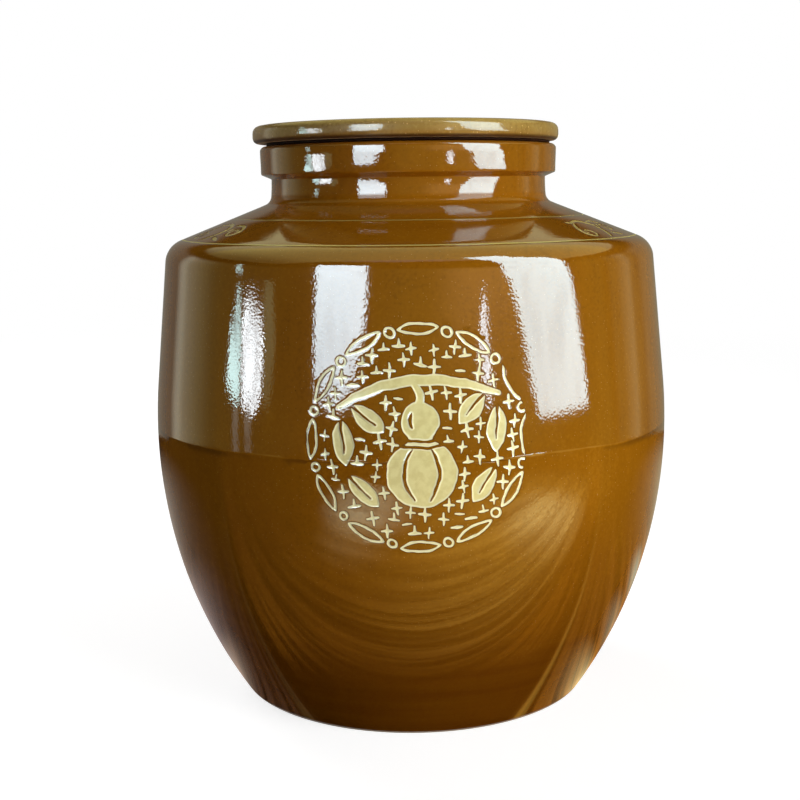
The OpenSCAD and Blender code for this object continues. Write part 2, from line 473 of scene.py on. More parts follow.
def border(u, v):
    """Twelve oval outlines with a small ring between each two of them.

    On the right the maker's hand was in a hurry: two ovals have only their inner line,
    and two rings stay open.
    """
    nearest = np.full(u.shape, far_away)
    for place in range(ovals):
        angle = 2 * math.pi * place / ovals
        out_u, out_v = math.cos(angle), math.sin(angle)
        middle = (border_r * out_u, border_r * out_v)
        tilt = angle + math.pi / 2 + oval_sway * math.sin(5 * place)
        oval = np.abs(slim_oval(u, v, middle, tilt, *oval_half)) - oval_line
        if place in open_ovals:
            outwards = (u - middle[0]) * out_u + (v - middle[1]) * out_v
            oval = np.maximum(oval, outwards - oval_kept_to)
        angle += math.pi / ovals
        out_u, out_v = math.cos(angle), math.sin(angle)
        middle = (border_r * out_u, border_r * out_v)
        own_r = bead_r * (1 + bead_change * math.sin(7 * place))
        bead = ring(u, v, middle, own_r, bead_line)
        if place in open_beads:
            outwards = (u - middle[0]) * out_u + (v - middle[1]) * out_v
            bead = np.maximum(bead, outwards - bead_kept_to)
        nearest = np.minimum(nearest, np.minimum(oval, bead))
    return nearest


# %% The gourd on its vine
def gourd(u, v):
    """A filled bottle gourd, with its ribs, a shine and its sash left standing in glaze."""
    lower = np.hypot((u - 1) / 1.04, v + 15.8) - 15.8
    upper = np.hypot(u - 0.4, v - 8.6) - 8.8
    skin = melt(lower, upper, 5.0)
    rib = curve((-3.4, -4.5), (-11.5, -16), (-2.6, -28.2), 10)
    other_rib = curve((5.4, -4.5), (13.0, -16), (4.6, -28.2), 10)
    shine = curve((-3.6, 12.2), (-5.6, 9.0), (-3.2, 5.4), 6)
    sash = [(-12, 0.9), (-4, -0.5), (4, -0.6), (13, 0.8)]
    lines = [
        stroke(u, v, rib, swelling(len(rib), 0.35, 0.85)),
        stroke(u, v, other_rib, swelling(len(other_rib), 0.35, 0.85)),
        stroke(u, v, shine, swelling(len(shine), 0.35, 0.85)),
        stroke(u, v, sash, [0.65] * 4),
        stroke(u, v, [(x, y - 2.9) for x, y in sash], [0.65] * 4),
    ]
    return np.maximum(skin, -np.minimum.reduce(lines))


# %% The leaves, the vine and the whole motif
def leaf(u, v, base, tip, half_width):
    """A filled leaf with its middle vein left standing in glaze."""
    middle = ((base[0] + tip[0]) / 2, (base[1] + tip[1]) / 2)
    angle = math.atan2(tip[1] - base[1], tip[0] - base[0])
    blade = lens(u, v, middle, angle, math.dist(base, tip) / 2, half_width)
    inner_end = (base[0] + 0.72 * (tip[0] - base[0]), base[1] + 0.72 * (tip[1] - base[1]))
    vein = stroke(u, v, [base, inner_end], [0.75, 0.35])
    return np.maximum(blade, -vein)


def motif(u, v):
    """The gourd, the vine that it hangs from and six leaves."""
    vine = curve((-37, 15), (-4, 37), (37, 20))
    stem = curve((0.2, 16.5), (1.4, 21), (-3, 27), 6)
    shapes = [
        gourd(u, v),
        stroke(u, v, vine, swelling(len(vine), 1.1, 2.6)),
        stroke(u, v, stem, [1.9] * len(stem)),
        leaf(u, v, (-31, 15.5), (-16, 3.5), 4.9),
        leaf(u, v, (-36.5, 9.5), (-34, -12), 5.0),
        leaf(u, v, (30, 20.5), (18, 7), 4.8),
        leaf(u, v, (36.5, 15), (35.5, -7), 4.8),
        leaf(u, v, (-33, -17), (-19, -31), 4.6),
        leaf(u, v, (35, -13.5), (24.5, -30), 4.8),
    ]
    return np.minimum.reduce(shapes)


# %% The ground of little crosses
cross_apart = 5.7
cross_arm = (2.40, 3.15)
ground_r = 45.5
clear_of_motif = 3.0
clear_of_border = 3.2
cross_kinds = ["cross"] * 7 + ["tee"] * 2 + ["dash"]
cross_sizes = (0.80, 1.14)
cross_tilt = 0.18
tries = 9000


def cross(u, v, centre, kind, size, tilt):
    """One cross, or one of its careless forms: a dash, or a cross that lost an arm."""
    along = ((u - centre[0]) * math.cos(tilt) + (v - centre[1]) * math.sin(tilt)) / size
    up = ((v - centre[1]) * math.cos(tilt) - (u - centre[0]) * math.sin(tilt)) / size
    flat = stroke(along, up, [(-cross_arm[0], 0), (0, 0.1), (cross_arm[0], 0)], [0.42, 0.80, 0.46])
    low = 0 if kind == "tee" else -cross_arm[1]
    upright = stroke(along, up, [(0, low), (0.1, 0), (0, cross_arm[1])], [0.38, 0.72, 0.36])
    return (flat if kind == "dash" else np.minimum(flat, upright)) * size


def cross_places(chance):
    """Places of the crosses: scattered, but never too near each other or the rest."""
    turns = np.array([chance.uniform(0, 2 * math.pi) for _ in range(tries)])
    reaches = ground_r * np.sqrt([chance.random() for _ in range(tries)])
    u, v = reaches * np.cos(turns), reaches * np.sin(turns)
    free = (motif(u, v) > clear_of_motif) & (border(u, v) > clear_of_border)
    found = []
    for place in zip(u[free], v[free]):
        if all(math.dist(place, other[0]) > cross_apart for other in found):
            kind, size = chance.choice(cross_kinds), chance.uniform(*cross_sizes)
            found.append((place, kind, size, chance.uniform(-cross_tilt, cross_tilt)))
    return found


crosses = cross_places(random.Random(7))
print("crosses in the ground:", len(crosses))

# %% The whole medallion
sway = 0.22
tremble = 0.05
pressure_change = 0.10


def medallion(u, v):
    """The distance to the whole drawing, with a slow sway and a tremble of the hand."""
    shaky_u = u + sway * np.sin(0.52 * v + 0.6 * np.sin(0.21 * u)) + tremble * np.sin(1.3 * v + u)
    shaky_v = v + sway * np.sin(0.47 * u + 0.5 * np.sin(0.27 * v)) + tremble * np.sin(1.2 * u - v)
    nearest = np.minimum(border(shaky_u, shaky_v), motif(shaky_u, shaky_v))
    for place, kind, size, tilt in crosses:
        nearest = np.minimum(nearest, cross(shaky_u, shaky_v, place, kind, size, tilt))
    pressure = pressure_change * np.sin(0.83 * u + 0.4 * v) * np.sin(0.71 * v - 0.3 * u)
    return nearest + pressure


# %% A cloud scroll for the shoulder
scroll_places = [math.radians(angle) for angle in (60, 180, -60)]
scroll_r = 110 * mm
curl_steps = 28
curl_thinning = 0.55


def curl(u, v, centre, start_angle, turns, first_r, last_r, thick):
    """A line that winds in, thin at its end."""
    points = []
    for place in range(curl_steps + 1):
        share = place / curl_steps
        radius = first_r + (last_r - first_r) * share
        angle = start_angle + turns * 2 * math.pi * share
        points.append((centre[0] + radius * math.cos(angle), centre[1] + radius * math.sin(angle)))
    widths = [thick * (1 - curl_thinning * place / curl_steps) for place in range(curl_steps + 1)]
    return stroke(u, v, points, widths)


def scroll(u, v):
    """Two curls under one arch, with tails and small leaves, as clouds were drawn."""
    crest = (1.8, 3.6)
    arch = curve((-16.5, 7.2), (-4, 12), crest, 8) + curve(crest, (3.6, -3), (-5, -11), 8)[1:]
    left_tail = curve((-14.5, 6.2), (-20.5, 2), (-21.5, -4), 6)
    right_tail = curve((3, 7.6), (14, 10.5), (18.6, 1.5), 8)
    shapes = [
        stroke(u, v, arch, swelling(len(arch), 0.7, 1.45)),
        stroke(u, v, left_tail, swelling(len(left_tail), 0.6, 1.1)),
        curl(u, v, (-16.6, -4.8), math.radians(172), 1.1, 5.0, 1.8, 1.0),
        stroke(u, v, right_tail, swelling(len(right_tail), 0.6, 1.15)),
        curl(u, v, (13.6, 0.6), math.radians(12), -1.1, 5.0, 1.8, 1.0),
        lens(u, v, (-18.6, 7.6), math.radians(168), 2.4, 0.9),
        lens(u, v, (8.5, -8.2), math.radians(-24), 5.6, 1.4),
        lens(u, v, (7.2, 2.4), math.radians(60), 3.4, 1.0),
    ]
    return np.minimum.reduce(shapes)


# %% [markdown]
# ## Fine faces where the tool cut
#
# The spun faces are nearly 5 mm across, and the cuts are 1 mm wide. Only the faces under
# the drawing are subdivided, first with one cut, in a slightly wider patch, and then with
# four cuts more, so that the mesh grows finer in steps. The new points lie on straight
# edges between the old ones, so each is moved out to the side's true radius later.
# Without that, the gloss would show every old face as a flat.


# %% Helpers to select and count faces
def select_faces(piece, wanted):
    """In edit mode's face selection, select the faces whose centre passes a test."""
    bpy.context.tool_settings.mesh_select_mode = (False, False, True)
    bpy.ops.object.mode_set(mode="EDIT")
    bpy.ops.mesh.select_all(action="DESELECT")
    bpy.ops.object.mode_set(mode="OBJECT")
    chosen = [bool(wanted(face.center)) for face in piece.data.polygons]
    piece.data.polygons.foreach_set("select", chosen)
    bpy.ops.object.mode_set(mode="EDIT")
    return sum(chosen)


def triangles(piece):
    """How many triangles the mesh comes to."""
    return sum(len(face.vertices) - 2 for face in piece.data.polygons)


# %% Faces under the medallion
medallion_azimuth = math.radians(1.6)
medallion_z = 160 * mm
patch_r = 53.6 * mm
patch_margin = 5 * mm


def on_medallion(points):
    """Each point's place on the unrolled side, from the medallion's middle, in metres."""
    azimuth = np.arctan2(points[:, 0], -points[:, 1]) - medallion_azimuth
    return azimuth * np.hypot(points[:, 0], points[:, 1]), points[:, 2] - medallion_z


def outside(points):
    """Which points are on the side's outer surface."""
    return np.hypot(points[:, 0], points[:, 1]) > outer_r(points[:, 2]) - wall / 2


def near_medallion(radius):
    """A test for faces within a distance of the medallion's middle."""

    def test(centre):
        point = np.array([centre])
        if abs(centre.z - medallion_z) > radius or centre.y > 0:
            return False
        u, v = on_medallion(point)
        return bool(outside(point)[0]) and math.hypot(u[0], v[0]) < radius

    return test


# %% Subdivide under the medallion
for radius, cuts in ((patch_r + patch_margin, 1), (patch_r, 4)):
    start_clean()
    bpy.context.view_layer.objects.active = jar
    jar.select_set(True)
    chosen = select_faces(jar, near_medallion(radius))
    bpy.ops.mesh.subdivide(number_cuts=cuts)
    bpy.ops.object.mode_set(mode="OBJECT")
    print("subdivided", chosen, "faces with", cuts, "cuts:", triangles(jar), "triangles")

# %% Faces under the scrolls
scroll_half = (23 * mm, 12.5 * mm)


def on_shoulder(points, azimuth):
    """A place round the shoulder and up its slope, from a scroll's middle, in metres."""
    around = np.arctan2(points[:, 0], -points[:, 1]) - azimuth
    around = (around + math.pi) % (2 * math.pi) - math.pi
    radius = np.hypot(points[:, 0], points[:, 1])
    return around * scroll_r, (scroll_r - radius) / slope.x


def shoulder_height(radius):
    """The height of the shoulder's slope at a distance from the axis."""
    return shoulder_z + (shoulder_r - radius) * slope.y / slope.x


def near_scroll(centre):
    """A test for faces under one of the scrolls."""
    point = np.array([centre])
    if abs(centre.z - shoulder_height(math.hypot(centre.x, centre.y))) > wall / 4:
        return False
    return any(
        abs(u[0]) < scroll_half[0] and abs(v[0]) < scroll_half[1]
        for u, v in (on_shoulder(point, azimuth) for azimuth in scroll_places)
    )


# %% Subdivide under the scrolls
scroll_cuts = 6
chosen = select_faces(jar, near_scroll)
bpy.ops.mesh.subdivide(number_cuts=scroll_cuts)
bpy.ops.object.mode_set(mode="OBJECT")
print("subdivided", chosen, "faces under the scrolls:", triangles(jar), "triangles")

# %% [markdown]
# ## Shape by hand
#
# Nothing thrown or pressed from clay is perfectly round. Slow waves of about a tenth of
# a millimetre bend the edges of every reflection in the gloss, which is what tells the
# eye that this is pottery and not plastic. Each point's distance from the axis is worked
# out anew, and all the points move at the end.


# %% Helpers to read and move points
def places(piece):
    """The mesh's points as rows of x, y and z."""
    flat = np.empty(len(piece.data.vertices) * 3, np.float32)
    piece.data.vertices.foreach_get("co", flat)
    return flat.reshape(-1, 3).astype(float)


def move_to(piece, points):
    """Put the mesh's points at new places."""
    piece.data.vertices.foreach_set("co", points.astype(np.float32).ravel())
    piece.data.update()


# %% The true side, with slow waves
points = places(jar)
radius = np.hypot(points[:, 0], points[:, 1])
azimuth = np.arctan2(points[:, 0], -points[:, 1])
height = points[:, 2].copy()

on_side = outside(points) & (height > 2 * foot_round) & (height < over[0][1])
target = radius.copy()
target[on_side] = outer_r(height[on_side])


def waves(scale, seed):
    """Smooth noise at each point of the jar, from -1 to 1."""
    shift = Vector((seed, seed, seed))
    return np.array([noise.noise(Vector(point) / scale + shift) for point in points])


wave_height = 0.11 * mm
wave_scale = 42 * mm
target += np.where(on_side, wave_height * waves(wave_scale, seed=3), 0)
print("points on the side:", int(on_side.sum()))

# %% [markdown]
# The seam is where the two halves were luted together. It is a low ridge that comes and
# goes and wanders up and down. The neck spreads a little towards its foot, as clay does
# under the weight above it. The collar leans out a little, and two shallow dents run
# round it, one low on it and one at its top, where fingers steadied it on the wheel.

# %% The seam
seam_ridge = 0.11 * mm
seam_usual = 0.25
seam_change = 1.6
seam_least = 0.08
seam_patch = 14 * mm
seam_wander = 1.6 * mm
wander_scale = 34 * mm
at_seam = on_side & (np.abs(height - seam_z) < seam_half / 2)
under_seam = on_side & (np.abs(height - seam_z + seam_half) < seam_half / 2)
near_seam = on_side & (np.abs(height - seam_z) < 1.5 * seam_half)
ridge_share = seam_usual + seam_change * waves(seam_patch, seed=49)
ridge = seam_ridge * np.clip(ridge_share, seam_least, 1)
target += np.where(at_seam, ridge, 0)
new_height = height + np.where(near_seam, seam_wander * waves(wander_scale, seed=17), 0)
print("points at the seam:", int(at_seam.sum()))

# %% The collar and the neck
finger_dent = 0.055 * mm
collar_lean = 0.18 * mm
skin = 0.2 * mm
collar_foot_z = collar_z + collar_slope
collar_share = np.clip((height - collar_foot_z) / (rim_z - collar_foot_z), 0, 1)
on_collar = (radius > collar_r - skin) & (height > collar_z) & (height < rim_z)
target -= np.where(on_collar, finger_dent * np.sin(1.5 * math.pi * collar_share) ** 2, 0)
target += np.where(on_collar, collar_lean * (2 * collar_share - 1), 0)

neck_flare = 0.7 * mm
below_neck = 2 * mm
neck_share = np.clip((collar_z - height) / (collar_z - neck_z), 0, 1) ** 2
neck_share *= np.clip(1 - (radius - neck_r) / neck_fillet, 0, 1)
on_neck = (radius > neck_r - skin) & (height > neck_z - below_neck) & (height < collar_z)
target += np.where(on_neck, neck_flare * neck_share, 0)
print("points on the collar:", int(on_collar.sum()), "- on the neck:", int(on_neck.sum()))

# %% Move the points
points[:, 0] = target * np.sin(azimuth)
points[:, 1] = -target * np.cos(azimuth)
points[:, 2] = new_height
move_to(jar, points)
print("farthest move outwards:", round(float((target - radius).max()) / mm, 2), "mm")

# %% [markdown]
# ## Carve
#
# The distance to the drawing goes to each point as an attribute with the name `cut_mm`,
# above zero inside a cut. A vertex group turns it into a share of the depth, with sides
# that slope over half a millimetre, and a Displace modifier pushes those points in along
# their normals, as the tool did.
#
# The clay's colour takes over between -0.05 and 0.05 mm. The lines and scrolls of the
# shoulder were cut shallowly, and glaze ran back over them. Their distance is held
# inside that range, which leaves their clay half hidden.
#
# A second attribute, `seam`, is above zero on the seam's ridge, where glaze runs thin and a
# highlight is painted, and below zero just under it, where a shade is painted.

# %% Distances at every point
edge_soft = 0.05
cut_side = 0.5
uncut = -5.0
scroll_margin = 1.2
slope_skin = 1.2 * mm
scroll_thin = 0.020
upper_thin = -0.006
lower_thin = 0.030
scroll_share = 0.6
points = places(jar)
radius = np.hypot(points[:, 0], points[:, 1])
cut = np.full(len(points), uncut)

u, v = on_medallion(points)
inside_patch = on_side & (np.hypot(u, v) < patch_r + patch_margin)
cut[inside_patch] = -medallion(u[inside_patch] / mm, v[inside_patch] / mm)
carved = np.clip(cut / cut_side, 0, 1)

on_slope = np.abs(points[:, 2] - shoulder_height(radius)) < slope_skin
on_slope &= (radius < shoulder_r) & (radius > neck_r)
for azimuth in scroll_places:
    u, v = on_shoulder(points, azimuth)
    here = on_slope & (np.abs(u) < scroll_margin * scroll_half[0])
    here &= np.abs(v) < scroll_margin * scroll_half[1]
    drawing = -scroll(u[here] / mm, v[here] / mm)
    carved[here] = np.maximum(carved[here], np.clip(drawing / cut_side, 0, scroll_share))
    cut[here] = np.maximum(cut[here], np.minimum(drawing, scroll_thin))
for line, thin in ((upper_line, upper_thin), (lower_line, lower_thin)):
    from_line = np.abs(radius - line.x) / slope.x / mm
    cut = np.where(on_slope, np.maximum(cut, np.minimum(line_half / mm - from_line, thin)), cut)
print("points inside a cut:", int((cut > 0).sum()))

# %% Attributes for the material
# Just under the seam a shade is painted: its share runs below zero.
under_seam_shade_from = 1.05
under_seam_shade_range = (-0.95, -0.25)
seam_share = ridge / seam_ridge
under_seam_shade_share = np.clip(seam_share - under_seam_shade_from, *under_seam_shade_range)
seam = np.where(at_seam, seam_share, np.where(under_seam, under_seam_shade_share, 0))
for name, values in (("cut_mm", cut), ("seam", seam)):
    attribute = jar.data.attributes.new(name, "FLOAT", "POINT")
    attribute.data.foreach_set("value", values.astype(np.float32))
    print(name, "from", round(float(values.min()), 2), "to", round(float(values.max()), 2))

# %% Carve with a vertex group and a Displace modifier
cut_depth = 0.32 * mm
group = jar.vertex_groups.new(name="carved")
for index in np.nonzero(carved > 0)[0]:
    group.add([int(index)], float(carved[index]), "REPLACE")
start_clean()
bpy.context.view_layer.objects.active = jar
jar.select_set(True)
knife = jar.modifiers.new("carve", "DISPLACE")
knife.vertex_group = group.name
knife.mid_level = 0
knife.strength = -cut_depth
bpy.ops.object.modifier_apply(modifier=knife.name)
print("jar:", triangles(jar), "triangles")

# %% [markdown]
# ## The lid
#
# The lid is a flat disc with a spigot that drops into the mouth. It is turned like the
# jar. A potter's lid is never quite in line with its own spigot: this one sits a little
# over a millimetre to the left, and its edge isn't quite round, so its disc is moved and
# swelled while the spigot stays on the axis: each point is as free to move as it is far
# from the spigot. The edge bulges slightly, except for a flat on the left that leans out
# a little at its top, where it mirrors the far window.

# %% Sizes of the lid
lid_r = 82.6 * mm
lid_z = 297.45 * mm
lid_top_z = 306.65 * mm
lid_crown = 1.6 * mm
lid_top_round = 3.8 * mm
lid_under_round = 2.8 * mm
band_low_z = 300.6 * mm
band_top_z = 302.5 * mm
spigot_r = 62.3 * mm
spigot_wall = 7 * mm
spigot_taper = 0.8 * mm
spigot_round = 2 * mm
spigot_end_z = 280.45 * mm
sleeve_end_z = 284.1 * mm
lid_hollow = 1.6 * mm
hollow_round = 4 * mm
print("the lid overhangs the collar by", round((lid_r - collar_r) / mm, 1), "mm")


# %% The lid's outline
def lid_outline():
    """The lid's section, from the hollow under it, round the spigot, to the crown."""
    spigot_inner_r = spigot_r - spigot_wall
    crown_r = lid_r - lid_top_round
    crown = [
        (crown_r * tenth / 10, lid_top_z + lid_crown * (1 - (tenth / 10) ** 2), 0)
        for tenth in range(10, -1, -1)
    ]
    return rounded(
        [(0, lid_z + lid_hollow, 0), (spigot_inner_r, lid_z + lid_hollow, hollow_round),
         (spigot_inner_r + spigot_taper, spigot_end_z, spigot_round),
         (spigot_r - spigot_taper, spigot_end_z, spigot_round), (spigot_r, sleeve_end_z, 0),
         (spigot_r, lid_z, 0), (lid_r, lid_z, lid_under_round),
         (lid_r, band_low_z, 0), (lid_r, band_top_z, 0), (lid_r, lid_top_z, lid_top_round), *crown],
        round_steps,
    )


# %% Spin the lid
lid_rows = 4 * mm
lid_steps = 144
lid = turn_outline("stoneware_lid", with_rows(lid_outline(), lid_rows), lid_steps)
print("lid:", triangles(lid), "triangles")

# %% Sizes of the lid's unevenness
lid_shift = -1.25 * mm
oval_swell = 0.25 * mm
wavy_swell = 0.15 * mm
edge_bulge = 0.03 * mm
flat_azimuth = math.radians(-37)
flat_width = math.radians(10)
flat_lean = 0.085 * mm
flat_half = 1.3 * mm
band_half = 1 * mm
edge_skin = 0.1 * mm
edge_width = 4 * mm
free_start = 2 * mm
free_short = 6 * mm
disc_skin = 1 * mm
turning_height = 0.05 * mm
turning_scale = 2.2 * mm
top_skin = 0.5 * mm

# %% Make the lid uneven
points = places(lid)
radius = np.hypot(points[:, 0], points[:, 1])
azimuth = np.arctan2(points[:, 0], -points[:, 1])
free = np.clip((radius - spigot_r - free_start) / (lid_r - spigot_r - free_short), 0, 1)
free = np.where(points[:, 2] > lid_z + disc_skin, np.maximum(free, radius / lid_r), free)
swell = oval_swell * np.sin(2 * azimuth + 0.6) + wavy_swell * np.sin(5 * azimuth + 2)
on_flat = np.exp(-(((azimuth - flat_azimuth) / flat_width) ** 2))
above_middle = points[:, 2] - (band_low_z + band_top_z) / 2
on_band = (radius > lid_r - edge_skin) & (np.abs(above_middle) < band_half)
swell += np.where(on_band, edge_bulge * (1 - on_flat), 0)
leaning = flat_lean * on_flat * np.clip(above_middle / flat_half, -1, 1)
swell += np.where(radius > lid_r - edge_width, leaning, 0)
points[:, 0] += free * (lid_shift + swell * np.sin(azimuth))
points[:, 1] -= free * swell * np.cos(azimuth)
turning_rings = turning_height * np.sin(radius / turning_scale)
points[:, 2] += np.where(points[:, 2] > lid_top_z - top_skin, turning_rings, 0)
move_to(lid, points)
print("the disc's radius changes by up to", round(float(np.abs(swell).max()) / mm, 2), "mm")

# %% [markdown]
# ## The sealing ring
#
# A flanged ring of soft silicone sits round the spigot. Only its edge shows as a dark
# line under the lid until the lid is lifted. Its three lips droop, and a moulded lip has
# a round tip, so the tips get rounds of their own.

# %% Sizes of the ring
flange_z = 296.1 * mm
flange_thick = 1.2 * mm
flange_r = 76.6 * mm
seal_r = 62.45 * mm
sleeve_r = 63.85 * mm
lip_r = 66 * mm
lip_root = 1.5 * mm
lip_tip = 0.7 * mm
lip_droop = 0.9 * mm
lip_corner = 0.3 * mm
flange_root_round = 0.4 * mm
flange_corner = 0.5 * mm
seal_round_steps = 4
lips = 3
print("gap between a lip and the mouth:", round((mouth_r - lip_r) / mm, 1), "mm")


# %% The ring's outline
def seal_outline():
    """The ring's closed section: up the outside of the sleeve, and back down inside."""
    corners = [
        (seal_r, flange_z, 0), (seal_r, sleeve_end_z, 0), (sleeve_r, sleeve_end_z, lip_corner),
    ]
    pitch = (flange_z - sleeve_end_z) / (lips + 0.5)
    for lip in range(lips):
        z = sleeve_end_z + pitch * (lip + 0.75)
        corners += [
            (sleeve_r, z - lip_root / 2, lip_corner),
            (lip_r, z - lip_droop - lip_tip / 2, lip_corner),
            (lip_r, z - lip_droop + lip_tip / 2, lip_corner),
            (sleeve_r, z + lip_root / 2, lip_corner),
        ]
    top = flange_z + flange_thick
    corners += [
        (sleeve_r, flange_z, flange_root_round), (flange_r, flange_z, flange_corner),
        (flange_r, top, flange_corner), (seal_r, top, 0), (seal_r, flange_z, 0),
    ]
    return rounded(corners, seal_round_steps)


# %% Spin the ring
seal_rows = 3 * mm
seal_steps = 120
seal = turn_outline("silicone_seal", with_rows(seal_outline(), seal_rows), seal_steps)
print("seal:", triangles(seal), "triangles")

# %% [markdown]
# ## The glaze
#
# An iron glaze is amber where it is thin. It runs down in the kiln, so faint streaks
# follow the wall. The glaze is also browner towards the foot. Fine pale specks are
# grains that didn't melt, and the gloss has the slight unevenness of orange peel. All of
# it comes from procedural textures in the jar's own space, so it stays put on the jar.
# The cut attribute lays pale clay over it: bare clay inside, a lighter rim that is scraped
# clay with a painted highlight, and a dark line along the cut that is gathered glaze with
# painted shade.
#
# A node gets its settings and its links in one call: a value that is a socket is linked,
# and any other value is set.


# %% Helpers for materials and nodes
def new_material(name):
    """A material with its node tree and its surface shader."""
    material = bpy.data.materials.new(name)
    material.use_nodes = True
    return material, material.node_tree, material.node_tree.nodes["Principled BSDF"]


def node(tree, kind, settings=None, **inputs):
    """Add a node. An input that is given as a socket is linked, and any other is set."""
    made = tree.nodes.new("ShaderNode" + kind)
    for name, value in (settings or {}).items():
        setattr(made, name, value)
    for name, value in inputs.items():
        number = name.removeprefix("in")
        socket = made.inputs[int(number) if number.isdigit() else name.replace("_", " ")]
        if isinstance(value, bpy.types.NodeSocket):
            tree.links.new(value, socket)
        else:
            socket.default_value = value
    return made


def maths(tree, operation, *values):
    """The result of one Math node."""
    inputs = {f"in{place}": value for place, value in enumerate(values)}
    return node(tree, "Math", {"operation": operation}, **inputs).outputs[0]


# %% Helpers for steps and mixes
def between(tree, value, low, high):
    """A smooth step: 0 below low, 1 above high."""
    made = node(tree, "MapRange", {"interpolation_type": "SMOOTHSTEP"}, Value=value)
    made.inputs["From Min"].default_value = low
    made.inputs["From Max"].default_value = high
    return made.outputs["Result"]


def blend(tree, share, first, second, how="MIX"):
    """A mix of two colours, or their sum or product by a share."""
    made = node(tree, "Mix", {"data_type": "RGBA", "blend_type": how})
    for place, value in ((0, share), (6, first), (7, second)):
        if isinstance(value, bpy.types.NodeSocket):
            tree.links.new(value, made.inputs[place])
        else:
            made.inputs[place].default_value = value
    return made.outputs[2]


# %% Colours of the glazes and the clay
amber = (0.270, 0.098, 0.0030, 1)
amber_deep = (0.225, 0.078, 0.0024, 1)
amber_pale = (0.310, 0.120, 0.0050, 1)
# The glaze turns darker towards the foot.
amber_near_foot = (0.092, 0.022, 0.0007, 1)
# Pale seam ridge: thin glaze with a painted highlight.
seam_thin_and_highlight = (0.400, 0.190, 0.020, 1)
speck_pale = (0.62, 0.38, 0.13, 1)
speck_dark = (0.060, 0.020, 0.003, 1)
clay_cut = (0.86, 0.78, 0.36, 1)
clay_cut_dull = (0.77, 0.68, 0.29, 1)
# Lighter rim inside a cut: scraped clay with a painted highlight.
clay_edge_highlight = (0.95, 0.90, 0.54, 1)
clay_glazed = (0.66, 0.53, 0.13, 1)
# Painted shade: under the seam's ridge, and along the cuts together with gathered glaze.
painted_shade_brown = (0.090, 0.030, 0.003, 1)
biscuit = (0.42, 0.30, 0.19, 1)
olive = (0.315, 0.188, 0.038, 1)
olive_deep = (0.245, 0.138, 0.024, 1)
olive_pale = (0.385, 0.248, 0.062, 1)
# Painted shade low on the lid's rim, under its round.
lid_rim_shade = (0.045, 0.014, 0.003, 1)


# %% Glaze textures
def own_space(tree, stretch=(1, 1, 1)):
    """Object coordinates, squeezed where a pattern is stretched."""
    place = node(tree, "TexCoord").outputs["Object"]
    return node(tree, "Mapping", Vector=place, Scale=stretch).outputs["Vector"]


def mottled(tree, deep, middle, pale):
    """A glaze's colour: slow clouds and streaks that run down the wall."""
    clouds = node(tree, "TexNoise", Vector=own_space(tree), Scale=16.0, Detail=3.0).outputs["Fac"]
    streaks = node(tree, "TexNoise", Vector=own_space(tree, (1, 1, 0.10)), Scale=150.0, Detail=2.0)
    grain = node(tree, "TexNoise", Vector=own_space(tree), Scale=620.0, Detail=2.0).outputs["Fac"]
    tone = maths(tree, "MULTIPLY", clouds, 0.40)
    tone = maths(tree, "MULTIPLY_ADD", streaks.outputs["Fac"], 0.20, tone)
    tone = maths(tree, "MULTIPLY_ADD", grain, 0.40, tone)
    darker = blend(tree, between(tree, tone, 0.34, 0.50), deep, middle)
    return blend(tree, between(tree, tone, 0.50, 0.68), darker, pale)


def specks(tree, scale, size, rarity):
    """Small round grains, in a few of the cells of a scattered pattern."""
    cells = node(tree, "TexVoronoi", Vector=own_space(tree), Scale=scale)
    dot = between(tree, cells.outputs["Distance"], size, size * 0.55)
    lot = node(tree, "SeparateColor", Color=cells.outputs["Color"]).outputs[0]
    return maths(tree, "MULTIPLY", dot, maths(tree, "GREATER_THAN", lot, rarity))


def orange_peel(tree, roll_mm, peel_mm, level=1.0):
    """The uneven gloss: slow rolls and a fine peel at some level, as a bump."""
    rolls = node(tree, "TexNoise", Vector=own_space(tree), Scale=75.0, Detail=1.0).outputs["Fac"]
    peel = node(tree, "TexNoise", Vector=own_space(tree), Scale=880.0, Detail=0.5).outputs["Fac"]
    first = node(tree, "Bump", Height=rolls, Strength=1.0, Distance=roll_mm * mm)
    second = node(
        tree, "Bump", Height=peel, Strength=level, Distance=peel_mm * mm,
        Normal=first.outputs["Normal"],
    )
    return second.outputs["Normal"]


# %% Heights on the jar where its glaze changes
darker_low_heights = (138 * mm, 28 * mm)
clay_glazed_heights = (238 * mm, 242 * mm)
bare_heights = (1.3 * mm, 1.0 * mm)
corner_foot = (264.5 * mm, 266 * mm)
corner_top = (271 * mm, 269.5 * mm)
corner_dulling = 0.38


# %% The jar's glaze, with its pools and specks
def amber_colour(tree, pooling):
    """Amber glaze that is browner towards the foot, with pale and dark specks."""
    colour = mottled(tree, amber_deep, amber, amber_pale)
    rings = node(tree, "TexNoise", Vector=own_space(tree, (0.06, 0.06, 1)), Scale=130.0, Detail=3.0)
    drift = maths(tree, "MULTIPLY_ADD", rings.outputs["Fac"], 0.5, 0.5)
    colour = blend(tree, maths(tree, "MULTIPLY", pooling, drift), colour, amber_near_foot)
    speck_share = maths(tree, "MULTIPLY_ADD", pooling, -0.35, 0.40)
    pale_specks = maths(tree, "MULTIPLY", specks(tree, 620, 0.18, 0.62), speck_share)
    colour = blend(tree, pale_specks, colour, speck_pale)
    dark_specks = maths(tree, "MULTIPLY", specks(tree, 340, 0.10, 0.86), 0.8)
    return blend(tree, dark_specks, colour, speck_dark)


